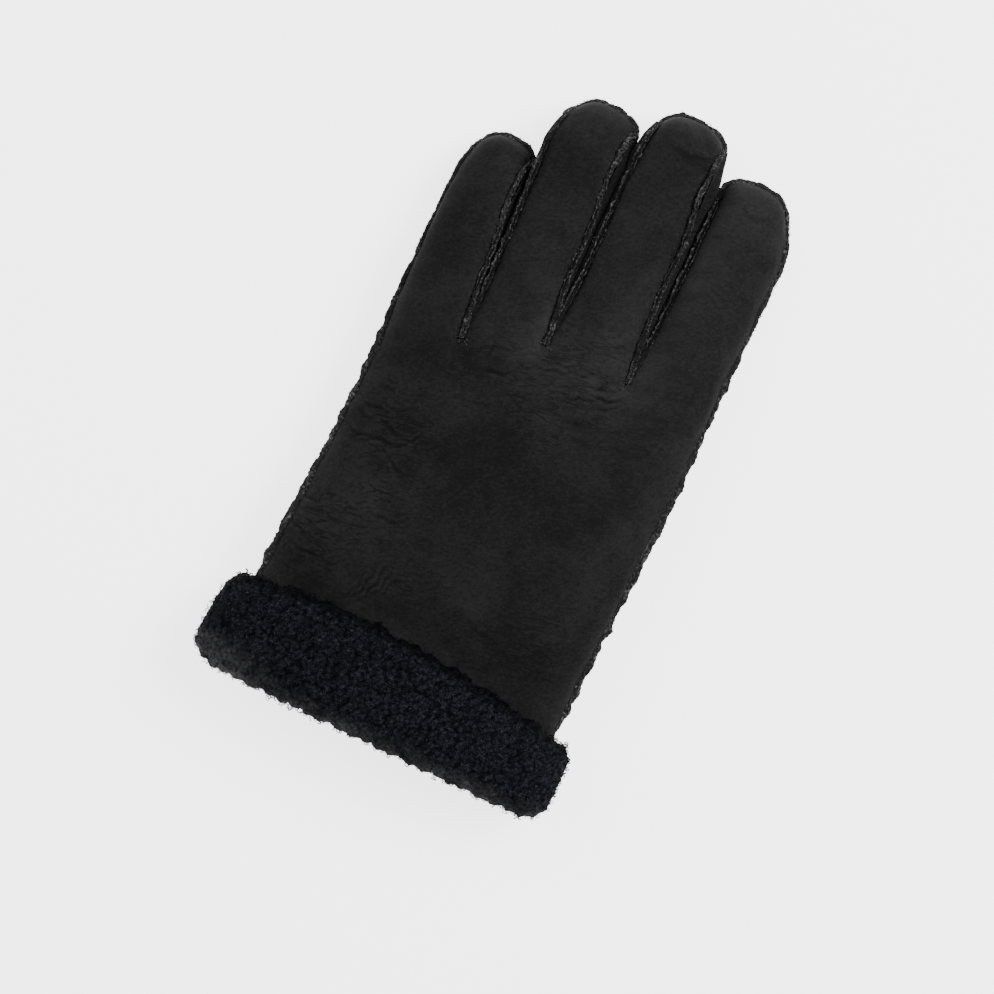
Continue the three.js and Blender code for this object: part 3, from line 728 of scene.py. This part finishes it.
def ridge_ways(points, standing, side):
    """The ways out of a ridge and square to it. It stands up beside a gap, and lies level round the edge."""
    tangent = soften(np.gradient(points, axis=0), 6)
    level = unit(np.stack([-tangent[:, 1], tangent[:, 0], 0 * tangent[:, 0]], -1))
    up = np.array([0, 0, side])
    out = level * (1 - 0.85 * standing)[:, None] + up * (0.97 * standing + 0.05)[:, None]
    out = unit(soften(out, 4))
    return out, unit(soften(np.cross(tangent, out), 4))


def ridge_grid(points, standing, distance, out, flat, along):
    """The two cut edges of a ridge, ragged and splayed between the stitches that pinch them."""
    trimmed = mix(HAND_EDGE_WIDTH, TIP_EDGE_WIDTH, smooth(points[:, 1], 110, 200))
    width = mix(trimmed, 1, standing)
    uneven = distance + 0.7 * along(11, 5)
    pinch = np.clip(np.cos(2 * math.pi * uneven / STITCH_PITCH), 0, 1) ** 2 * (0.22 + 0.2 * along(9, 7))
    thick = RIDGE_THICKNESS * (1 - 0.26 * pinch + 0.16 * along(3.4, 2))
    sway = mix(0.05, 0.24, standing) * along(5.5, 6)
    splay = mix(0.04, 0.24, standing) * (1 + 0.6 * along(7, 9))
    rows = []
    for leaf, way in enumerate((1, -1)):
        section_out, section_aside = (EDGE_SECTION if way > 0 else EDGE_SECTION[::-1]).T[:, None, :]
        ragged = mix(0.26, 0.13, standing) * along(8, 10) - 0.1 * pinch
        ragged = ragged + mix(0.1, 0.18, standing) * along(1.7, 20 + leaf)
        reach = width * (1 + ragged)
        lean = 0.17 * along(2.4, 30 + leaf) + way * splay
        aside = way * section_aside * thick[:, None] + np.clip(section_out, 0, None) * (sway + lean)[:, None]
        outwards = section_out * np.where(section_out > 0, reach[:, None], 1)
        rows.append(out[:, None] * outwards[..., None] + flat[:, None] * aside[..., None])
    return points[:, None] + np.concatenate(rows, 1)


def lay_ridge(name, line, seed, side=1):
    """The double ridge along a seam, rubbed at its raw edges. Returns the ways out of it and square to it."""
    points, standing, distance = line
    line_points = np.stack([distance, 0 * distance, 0 * distance], -1)

    def along(length, step):
        return waves(line_points, length, seed + step)

    out, flat = ridge_ways(points, standing, side)
    grid = ridge_grid(points, standing, distance, out, flat, along)
    heights = np.concatenate([EDGE_SECTION[:, 0], EDGE_SECTION[::-1, 0]])
    rough = waves(grid.reshape(-1, 3), 1.3, seed + 3).reshape(grid.shape[:2])
    grid = grid + out[:, None] * (mix(0.1, 0.2, standing)[:, None] * rough * (heights > 0.9))[..., None]
    grid[..., 2] = np.maximum(grid[..., 2], ABOVE_TABLE)
    worn = np.clip(0.75 + mix(0.75, 0.4, standing) * along(8, 8), 0.1, 1.3)
    flecks = np.clip(0.8 + waves(grid.reshape(-1, 3), 1.3, seed + 4).reshape(grid.shape[:2]), 0, 2.2)
    edge = mix(mix(0.6, 0.45, standing)[:, None], 1, smooth(heights, 0.2, 1.2)[None, :])
    rubbed = edge * flecks * (worn * mix(1.25, 1, standing))[:, None]
    # The ridge is lighter as a whole; at the root of a ridge that stands in a gap it is painted darker:
    # painted shade
    nap_and_painted_shading = mix(0.3, 0.55, standing)[:, None] - 0.4 * smooth(heights, 0.9, 0.3) * standing[:, None]
    ridge_points, ridge_faces, kept = weld([grid])
    marks = {"rubbed": rubbed.reshape(-1)[kept], "wrinkled": 0.0, "nap_and_painted_shading": nap_and_painted_shading.reshape(-1)[kept]}
    lay_out(name, ridge_points, ridge_faces, hide, (), marks)
    return out, flat


# The stitches: a thick waxed thread that lies in short lengths on each side of a ridge
STITCH_LENGTH, STITCH_HEIGHT, THREAD_THICKNESS = 2.5, 0.45, 0.2
STITCH_SHIFT, UNSEWN_END = 0.25, 3.0
# The thread's colour, and the painted shade between its strands
THREAD_COLOUR, THREAD_FURROW_SHADE = (0.017, 0.017, 0.017, 1), (0.00765, 0.00765, 0.00765, 1)


def thread_finish(name):
    """Dark waxed thread, painted darker between its strands (painted shade in the furrows of the twist)."""
    finish, tree, shader = new_finish(name)
    twist = cloudy(tree, place_on(tree), 2200.0, detail=2.0)
    feed(tree, shader, {
        "Base Color": blend(tree, ramp(tree, twist, 0.35, 0.65), THREAD_FURROW_SHADE, THREAD_COLOUR),
        "Normal": bump_of(tree, twist, 0.6, 0.0001), "Roughness": 0.6, "Specular IOR Level": 0.25,
    })
    return finish


thread = thread_finish("waxed_thread")


def strands(lines, across, thickness, sides):
    """Thin tubes along many short lines. across is a way roughly square to each line."""
    count, steps = lines.shape[:2]
    ways = np.gradient(lines, axis=1)
    beside = unit(np.cross(ways, across))
    square = unit(np.cross(beside, ways))
    turn = np.arange(sides) * 2 * math.pi / sides
    ring = np.cos(turn)[:, None] * square[:, :, None] + np.sin(turn)[:, None] * beside[:, :, None]
    points = lines[:, :, None] + thickness[..., None, None] * ring
    step = np.arange(steps - 1)[:, None] * sides
    first = np.arange(sides)
    second = (first + 1) % sides
    quads = np.stack([step + first, step + second, step + sides + second, step + sides + first], -1)
    faces = quads.reshape(1, -1, 4) + np.arange(count)[:, None, None] * steps * sides
    return points, faces.reshape(-1, 4)


def sew(name, line, out, flat, seed):
    points, _, distance = line
    draw = np.random.default_rng(seed)
    middles = np.arange(UNSEWN_END, distance[-1] - UNSEWN_END, STITCH_PITCH) + STITCH_PITCH / 2
    middles = middles + draw.uniform(-STITCH_SHIFT, STITCH_SHIFT, len(middles))
    t = np.linspace(-0.5, 0.5, 7)
    at = middles[:, None] + STITCH_LENGTH * t
    place, outwards, aside = (read_along(values, distance, at) for values in (points, out, flat))
    bow = 0.5 * THREAD_THICKNESS + 0.04 - 0.45 * (2 * np.abs(t)) ** 3
    to_side = (0.82 * RIDGE_THICKNESS + bow)[:, None]
    lines = []
    for way in (1, -1):
        height = (STITCH_HEIGHT + way * 0.15 * t)[:, None]
        lines.append(place + outwards * height + way * aside * to_side)
    lines = np.concatenate(lines)
    thickness = THREAD_THICKNESS * np.ones(lines.shape[:2]) * (1 - 0.35 * (2 * np.abs(t)) ** 4)
    stitch_points, stitch_faces = strands(lines, np.concatenate([outwards, outwards]), thickness, sides=5)
    stitch_points[..., 2] = np.maximum(stitch_points[..., 2], ABOVE_TABLE)
    lay_out(name, stitch_points.reshape(-1, 3), stitch_faces, thread)


back_out, back_flat = lay_ridge("seam_of_back", back_line, 51)
sew("stitches_of_back", back_line, back_out, back_flat, 52)

# The frayed edge: short ends of fibre that stand out of the ridge
FRAY_SPACING, FRAY_STEPS, FRAY_SIDES = 0.44, 4, 3


def fray(name, line, out, flat, seed):
    points, standing, distance = line
    draw = np.random.default_rng(seed)
    count = round(distance[-1] / FRAY_SPACING)
    at = draw.uniform(0, distance[-1], count)
    root, outwards, aside = (read_along(values, distance, at) for values in (points, out, flat))
    along = np.cross(outwards, aside)
    width = mix(TIP_EDGE_WIDTH, 1, np.interp(at, distance, standing))
    start = root + outwards * (draw.uniform(0.4, 1.3, count) * width)[:, None]
    start = start + aside * (draw.uniform(-1.0, 1.0, count) * RIDGE_THICKNESS)[:, None]
    heading = 0.35 * outwards + draw.normal(size=(count, 1)) * along
    heading = unit(heading + 0.5 * draw.normal(size=(count, 1)) * aside)
    t = np.linspace(0, 1, FRAY_STEPS)[:, None]
    length = draw.uniform(0.6, 1.5, count)[:, None, None]
    droop = 0.35 * draw.normal(size=(count, 3))
    lines = start[:, None] + heading[:, None] * (length * t) + droop[:, None] * (length * t**2)
    thickness = draw.uniform(0.07, 0.13, count)[:, None] * (1 - 0.7 * t[:, 0] ** 2)
    across = np.repeat(aside[:, None], FRAY_STEPS, 1)
    fibre_points, fibre_faces = strands(lines, across, thickness, FRAY_SIDES)
    fibre_points = fibre_points.reshape(-1, 3)
    fibre_points[:, 2] = np.maximum(fibre_points[:, 2], ABOVE_TABLE)
    rubbed = np.repeat(draw.uniform(0.3, 1.3, count), FRAY_STEPS * FRAY_SIDES)
    marks = {"rubbed": rubbed, "wrinkled": 0.0, "nap_and_painted_shading": 0.3}
    lay_out(name, fibre_points, fibre_faces, hide, (), marks)


fray("frayed_back_edges", back_line, back_out, back_flat, 56)

# At the foot of each gap the seam ends in a few loose ends that fan out over the hide
ENDS_AT_FOOT, END_THICKNESS, FAN_REACH = 10, 0.1, 9


def fan_ends(name, seed):
    draw = np.random.default_rng(seed)
    t = np.linspace(0, 1, 7)
    arch = np.sin(math.pi * t)
    lines = []
    for foot_x, foot_y in zip(SLITS["base_x"], SLITS["base_y"]):
        near = back_points[np.hypot(back_points[:, 0] - foot_x, back_points[:, 1] - foot_y) < FAN_REACH]
        for heading in np.radians(draw.uniform(-165, -15, ENDS_AT_FOOT)):
            length, bow = draw.uniform(1.6, 3.8), draw.uniform(-0.4, 0.4)
            start_x, start_y = foot_x + draw.uniform(-0.9, 0.9), foot_y + draw.uniform(-0.4, 1.6)
            x = start_x + length * t * math.cos(heading) - bow * arch * math.sin(heading)
            y = start_y + length * t * math.sin(heading) + bow * arch * math.cos(heading)
            away = np.hypot(near[:, 0, None] - x, near[:, 1, None] - y)
            lines.append(np.stack([x, y, near[away.argmin(0), 2] + 0.1 + 0.3 * arch], -1))
    lines = np.array(lines)
    thickness = END_THICKNESS * np.ones(lines.shape[:2]) * (1 - 0.6 * t**3)
    end_points, end_faces = strands(lines, np.full(lines.shape, (0.0, 0.0, 1.0)), thickness, sides=4)
    marks = {"rubbed": 1.2, "wrinkled": 0.0, "nap_and_painted_shading": 0.3}
    lay_out(name, end_points.reshape(-1, 3), end_faces, hide, (), marks)


fan_ends("thread_ends_at_gaps", 58)

# Under the hand only the seams beside the gaps are separate; round the edge the two panels share one seam
HIDDEN_SEAM_STEP, PAST_TIP = 0.5, 18
for index, gap_name in enumerate(("little_ring", "ring_middle", "middle_index")):
    before, before_standing = finger_seam(index, -1)
    after, after_standing = finger_seam(index + 1, -1)
    down = slice(np.argmax(before[:, 1]) + PAST_TIP, None)
    climb = slice(None, np.argmax(after[:, 1]) - PAST_TIP)
    gap_points = np.concatenate([before[down], after[climb]])
    gap_standing = np.concatenate([before_standing[down], after_standing[climb]])
    gap_points, gap_standing, gap_distance = run_evenly(gap_points, gap_standing, HIDDEN_SEAM_STEP)
    gap_line = (soften(gap_points, 2), soften(gap_standing, 4), gap_distance)
    gap_out, gap_flat = lay_ridge(f"palm_seam_{gap_name}", gap_line, 110 + 40 * index, -1)
    sew(f"palm_stitches_{gap_name}", gap_line, gap_out, gap_flat, 112 + 40 * index)

# The thumb's own seam follows its edge on the fingers' side, over the tip and a little way down
thumb_edge = np.concatenate([thumb_grid[8:, 0], thumb_grid[:52:-1, thumb_grid.shape[1] // 2]])
thumb_edge, flat_lying, thumb_distance = run_evenly(thumb_edge, np.zeros(len(thumb_edge)), HIDDEN_SEAM_STEP)
thumb_line = (soften(thumb_edge, 4), flat_lying, thumb_distance)
thumb_out, thumb_flat = lay_ridge("seam_of_thumb", thumb_line, 240)
sew("stitches_of_thumb", thumb_line, thumb_out, thumb_flat, 241)

# WOOL CUFF
# The end of the glove is turned back on itself, so that the curly wool of the shearling is outside. The wool
# stands in small tight tufts, and is greyer and flatter along the fold.

CUFF_MIDDLE, CUFF_TOP, CUFF_BULGE = -22, 40.2, 1.36
CUFF_DIP_OUTER, CUFF_DIP_THUMB = 0.0025, 0.0014
FLARE_LOW, FLARE_HIGH = 2.1, 0.4  # the outer side leans out towards the fold
WOOL_MIDDLE = 5  # from the edge of the hide to the middle of the wool
# The wool's surface in section: out from the hide, and up from the fold
CUFF_SECTION = np.array([
    (0.3, 38.2), (2.2, 39.7), (4.9, 38.8), (6.6, 35.5), (7.0, 30), (7.1, 26), (7.1, 19), (7.1, 11.5),
    (6.4, 5.2), (3.8, 1.7), (-0.9, 0.9), (-3.6, 2.6), (-4.9, 7), (-4.9, 14), (-4.8, 20), (-4.2, 24.4),
    (-3.6, 25),
])


def cuff_dip(x):
    """How far the upper edge of the cuff drops to its sides."""
    return np.where(x < CUFF_MIDDLE, CUFF_DIP_OUTER, CUFF_DIP_THUMB) * (x - CUFF_MIDDLE) ** 2


def cuff_surface(pitch):
    """A grid of points over the wool, its rows round the wrist."""
    length = np.append(0, np.cumsum(np.hypot(*np.diff(CUFF_SECTION, axis=0).T)))
    at = np.linspace(0, length[-1], round(length[-1] / pitch) + 1)
    out = through(length, CUFF_SECTION[:, 0], at)
    up = through(length, CUFF_SECTION[:, 1], at)

    share = np.sin(np.linspace(-0.5, 0.5, 2001) * math.pi)
    half = (SIDES["right"][0] - SIDES["left"][0]) / 2 + WOOL_MIDDLE
    places = []
    for face in (1, -1):
        line = np.stack([share * half, face * roundness(share, face) * (RISE + WOOL_MIDDLE)], -1)
        travelled = np.append(0, np.cumsum(np.hypot(*np.diff(line, axis=0).T)))
        count = round(travelled[-1] / pitch)
        even = np.interp(np.linspace(0, travelled[-1], count + 1), travelled, share)
        places.append(np.stack([even[:-1] if face > 0 else even[:0:-1], np.full(count, face)], -1))
    share, face = np.concatenate(places).T

    row_y = np.maximum(up, PANEL_START)
    left, right = side_x("left", row_y)[:, None], side_x("right", row_y)[:, None]
    x = (left + right) / 2 + share * ((right - left) / 2 + out[:, None] * CUFF_BULGE)
    z = CUFF_LEVEL + face * roundness(share, face) * (RISE + SEAM_GAP / 2 + out[:, None])
    turned_back = (out > 0) & (up > PANEL_START)
    dipping = smooth(up, PANEL_START, CUFF_TOP) * turned_back
    y = up[:, None] * (1 - dipping[:, None] * cuff_dip(x) / CUFF_TOP)
    flare = mix(FLARE_LOW, FLARE_HIGH, smooth(up, 8, 38)) * smooth(up, 0, 6) * smooth(out, 0, 4)
    x = x - flare[:, None] * smooth(-x, 20, 64)
    fold = smooth(up, 9, 1)[:, None]
    y = y + fold * (0.45 * np.sin(x * 1.13 + 1.2 * np.sin(x * 0.21)) + 0.3 * np.sin(x * 0.47 + 2))
    ragged_edge = 0.6 * np.sin(0.9 * x + 1.3 * np.sin(0.31 * x)) + 0.45 * np.sin(0.39 * x + 1)
    y = y + ragged_edge * (smooth(up, 33, 39) * turned_back)[:, None]
    return np.stack([x, y, z], -1)


def grid_normals(grid):
    normals = unit(np.cross(np.roll(grid, -1, 1) - np.roll(grid, 1, 1), np.gradient(grid, axis=0)))
    rows, around = grid.shape[:2]
    return normals if normals[rows // 4, around // 4, 2] > 0 else -normals


def scatter(grid, pitch, spacing, seed):
    """Places evenly spread over the wool with some disorder, and the ways out there."""
    draw = np.random.default_rng(seed)
    rows, around = grid.shape[:2]
    normals = grid_normals(grid)
    places, ways = [], []
    for row_index, row in enumerate(np.arange(0.6, rows - 1.2, 0.88 * spacing / pitch)):
        count = round(around * pitch / spacing)
        shifted = np.arange(count) + 0.5 * (row_index % 2) + draw.uniform(-0.34, 0.34, count)
        column = shifted * around / count
        v = np.clip(row + draw.uniform(-0.3, 0.3, count) * spacing / pitch, 0, rows - 1.001)
        v0, u0 = np.floor(v).astype(int), np.floor(column).astype(int)
        fv, fu = (v - v0)[:, None], (column - u0)[:, None]
        u0, u1 = u0 % around, (u0 + 1) % around
        for source, target in ((grid, places), (normals, ways)):
            near = mix(source[v0, u0], source[v0, u1], fu)
            far = mix(source[v0 + 1, u0], source[v0 + 1, u1], fu)
            target.append(mix(near, far, fv))
    return np.concatenate(places), np.concatenate(ways)


def wool_marks(points, shade):
    """The wool is painted darker along the upper edge (painted shade), and greyer low on the fold, most at
    the outer corner.
    """
    # painted shade along the upper edge of the cuff
    edge = mix(0.15, 1, smooth(CUFF_TOP - cuff_dip(points[:, 0]) - points[:, 1], 0.5, 5.5))
    low = smooth(points[:, 1], 8, 1.0)
    corner = smooth(points[:, 0], -34, -66) * smooth(points[:, 1], 16, 3)
    patchy = (0.7 + 0.35 * waves(points, 8, 71)) * (0.8 + 0.5 * waves(points, 1.5, 72))
    return {"shade": shade * edge, "greyed": np.clip((0.55 * low + 0.75 * corner) * patchy, 0, 0.9)}


WOOL_DARK = (0.0009, 0.0009, 0.0014, 1)
WOOL_LIGHT = (0.0780, 0.0785, 0.1080, 1)
WOOL_GREY = (0.060, 0.060, 0.0605, 1)


def wool_finish(name):
    """Black wool, lighter or darker by the shade mark (random tone and painted shade), and greyer low on the
    fold and at the outer corner.
    """
    finish, tree, shader = new_finish(name)
    fibres = cloudy(tree, place_on(tree), 2100.0, detail=2.5, roughness=0.65)
    tone = calculate(tree, "MULTIPLY", mark_on(tree, "shade"), ramp(tree, fibres, 0.36, 0.66), clamp=True)
    colour = blend(tree, tone, WOOL_DARK, WOOL_LIGHT)
    feed(tree, shader, {
        "Base Color": blend(tree, mark_on(tree, "greyed"), colour, WOOL_GREY),
        "Normal": bump_of(tree, fibres, 0.6, 0.0003),
        "Roughness": calculate(tree, "MULTIPLY_ADD", fibres, 0.15, 0.8),
        "Specular IOR Level": 0.045,
    })
    return finish


wool = wool_finish("black_wool")
TUFT_SPACING, TUFT_REACH, TUFT_HEIGHT = 1.8, 1.2, 0.7


def raise_tufts(points, normals, places, draw):
    """Domes round the places. Returns the points and their shade: a random tone per tuft, with painted shade
    in the valleys.
    """
    nearest, away = nearest_of(places, points)
    own_tone = draw.uniform(0.35, 1.0, len(places))[nearest]
    own_height = draw.uniform(0.6, 1.1, len(places))[nearest]
    dome = np.clip(1 - (away / TUFT_REACH) ** 2, 0, 1)
    lift = TUFT_HEIGHT * (np.sqrt(dome) * own_height - 0.75) + 0.12 * waves(points, 1.2, 63)
    return points + normals * lift[:, None], np.clip(dome**1.5 * own_tone * 0.42, 0.0, 1)


WOOL_PITCH, WOOL_ABOVE_TABLE = 0.62, 0.2
wool_grid = cuff_surface(WOOL_PITCH)
tuft_places, _ = scatter(wool_grid, WOOL_PITCH, TUFT_SPACING, 81)
wool_normals = grid_normals(wool_grid)
wool_points, wool_faces, kept = weld([np.concatenate([wool_grid, wool_grid[:, :1]], 1)])
wool_normals = np.concatenate([wool_normals, wool_normals[:, :1]], 1).reshape(-1, 3)[kept]
wool_points, wool_shade = raise_tufts(wool_points, wool_normals, tuft_places, np.random.default_rng(82))
wool_points[:, 2] = np.maximum(wool_points[:, 2], WOOL_ABOVE_TABLE)
if (point_normals(wool_points, wool_faces) * wool_normals).sum() < 0:
    wool_faces = wool_faces[:, ::-1]
lay_out("cuff_wool", wool_points, wool_faces, wool, ["cuff"], wool_marks(wool_points, wool_shade))

# The curls: loose strands wound round each tuft
CURL_SPACING, CURL_STEPS, CURL_SIDES = 2.0, 11, 3


def grow_curls(places, ways, seed):
    draw = np.random.default_rng(seed)
    count = len(places)
    lean = unit(ways + 0.75 * draw.normal(size=(count, 3)))
    first = unit(np.cross(lean, draw.normal(size=(count, 3))))
    second = np.cross(lean, first)
    t = np.linspace(0, 1, CURL_STEPS)
    turns = draw.uniform(0.7, 1.5, count)[:, None] * draw.choice([-1, 1], count)[:, None]
    angle = draw.uniform(0, 2 * math.pi, count)[:, None] + turns * t * 2 * math.pi
    radius = draw.uniform(0.55, 1.05, count)[:, None] * (1 - 0.65 * t**1.5)
    climb = -0.75 + draw.uniform(1.0, 1.6, count)[:, None] * np.sin(0.5 * math.pi * t)
    thickness = draw.uniform(0.11, 0.2, count)[:, None] * (1 - 0.8 * t**4)
    inwards = np.cos(angle)[..., None] * first[:, None] + np.sin(angle)[..., None] * second[:, None]
    drift = 0.45 * draw.normal(size=(count, 3))
    lines = places[:, None] + radius[..., None] * inwards + climb[..., None] * lean[:, None] + drift[:, None]
    points, faces = strands(lines, np.repeat(lean[:, None], CURL_STEPS, 1), thickness, CURL_SIDES)
    points[..., 2] = np.maximum(points[..., 2], 0.05 + 0.02 * np.arange(CURL_SIDES))
    # Each curl has its own random strength; towards its root it is painted darker: painted shade
    strength = 0.1 + 0.9 * draw.uniform(0, 1, count) ** 2.2
    shade = strength[:, None, None] * (0.25 + 0.75 * t[None, :, None]) + np.zeros(CURL_SIDES)
    return points.reshape(-1, 3), faces, shade.reshape(-1)


curl_places, curl_ways = scatter(wool_grid, WOOL_PITCH, CURL_SPACING, 83)
facing = curl_ways[:, 2]
stretches = {
    "curls_above": facing > 0.25, "curls_below": facing < -0.25, "curls_edges": np.abs(facing) <= 0.25,
}
for seed, (name, chosen) in enumerate(stretches.items()):
    curl_points, curl_faces, shade = grow_curls(curl_places[chosen], curl_ways[chosen], 90 + seed)
    lay_out(name, curl_points, curl_faces, wool, (), wool_marks(curl_points, shade))

# WOOL INSIDE
# The same wool, pressed flat by the hand, lines the inside of the glove. It shows only through the mouth.

INSIDE_DEPTH, INSIDE_START = 2.7, 20


def line_panel(name, face, seed):
    grids = panel_grids(face, row_length=2.0, columns=22, first_row=INSIDE_START)
    points, faces, _ = weld(grids, turn_over=face > 0)
    depth = INSIDE_DEPTH + 0.35 * waves(points, 4.5, seed) + 0.25 * waves(points, 2.4, seed + 1)
    points = points + point_normals(points, faces) * depth[:, None]
    if face < 0:
        points, faces, _ = keep_faces(points, faces, ~in_thumb_hole(points[faces].mean(1)), {})
    marks = {"shade": np.clip(0.3 + 0.25 * waves(points, 3.0, seed + 2), 0.03, 1), "greyed": 0.0}
    lay_out(name, points, faces, wool, (), marks)


line_panel("wool_in_back", 1, 95)
line_panel("wool_in_palm", -1, 97)

# FLOOR, LIGHT AND CAMERA
# A white table top under a large soft light, seen from straight above with the glove turned on the table.

TURN_ON_TABLE = math.radians(26)
VIEW_CENTRE, VIEW_WIDTH = (4.2, -26.9), 354.5
SEAM_HEIGHT = 20
LENS, SENSOR = 150, 36
WHITE = (1, 1, 1, 1)

bpy.ops.mesh.primitive_plane_add(size=6, location=(0, 0, 0))
floor = bpy.context.object
floor.name = "table_top"
white_table, tree, shader = new_finish("white_table")
feed(tree, shader, {
    "Base Color": (0.9, 0.9, 0.9, 1), "Roughness": 0.9, "Emission Color": WHITE, "Emission Strength": 3.0,
})
floor.data.materials.append(white_table)


def soft_light(name, size, power, x, y, z):
    """A square light that points at the middle of the table."""
    data = bpy.data.lights.new(name, "AREA")
    data.size = size
    data.energy = power
    light = bpy.data.objects.new(name, data)
    light.location = (x, y, z)
    light.rotation_euler = (math.atan2(math.hypot(x, y), z), 0, math.atan2(x, -y))
    bpy.context.scene.collection.objects.link(light)


soft_light("main_softbox", 1.0, 46, 0.78, 0.74, 1.3)
soft_light("fill_softbox", 2.0, 19, -1.2, 0.1, 1.3)

world = bpy.data.worlds.new("studio")
world.use_nodes = True
feed(world.node_tree, world.node_tree.nodes["Background"], {"Color": WHITE, "Strength": 0.34})
bpy.context.scene.world = world

view_distance = VIEW_WIDTH * LENS / SENSOR
camera_data = bpy.data.cameras.new("camera")
camera_data.lens = LENS
camera_data.sensor_width = SENSOR
camera_data.clip_end = 20
camera = bpy.data.objects.new("camera", camera_data)
camera.location = (VIEW_CENTRE[0] * MM, VIEW_CENTRE[1] * MM, (view_distance + SEAM_HEIGHT) * MM)
camera.rotation_euler = (0, 0, TURN_ON_TABLE)
bpy.context.scene.collection.objects.link(camera)
bpy.context.scene.camera = camera
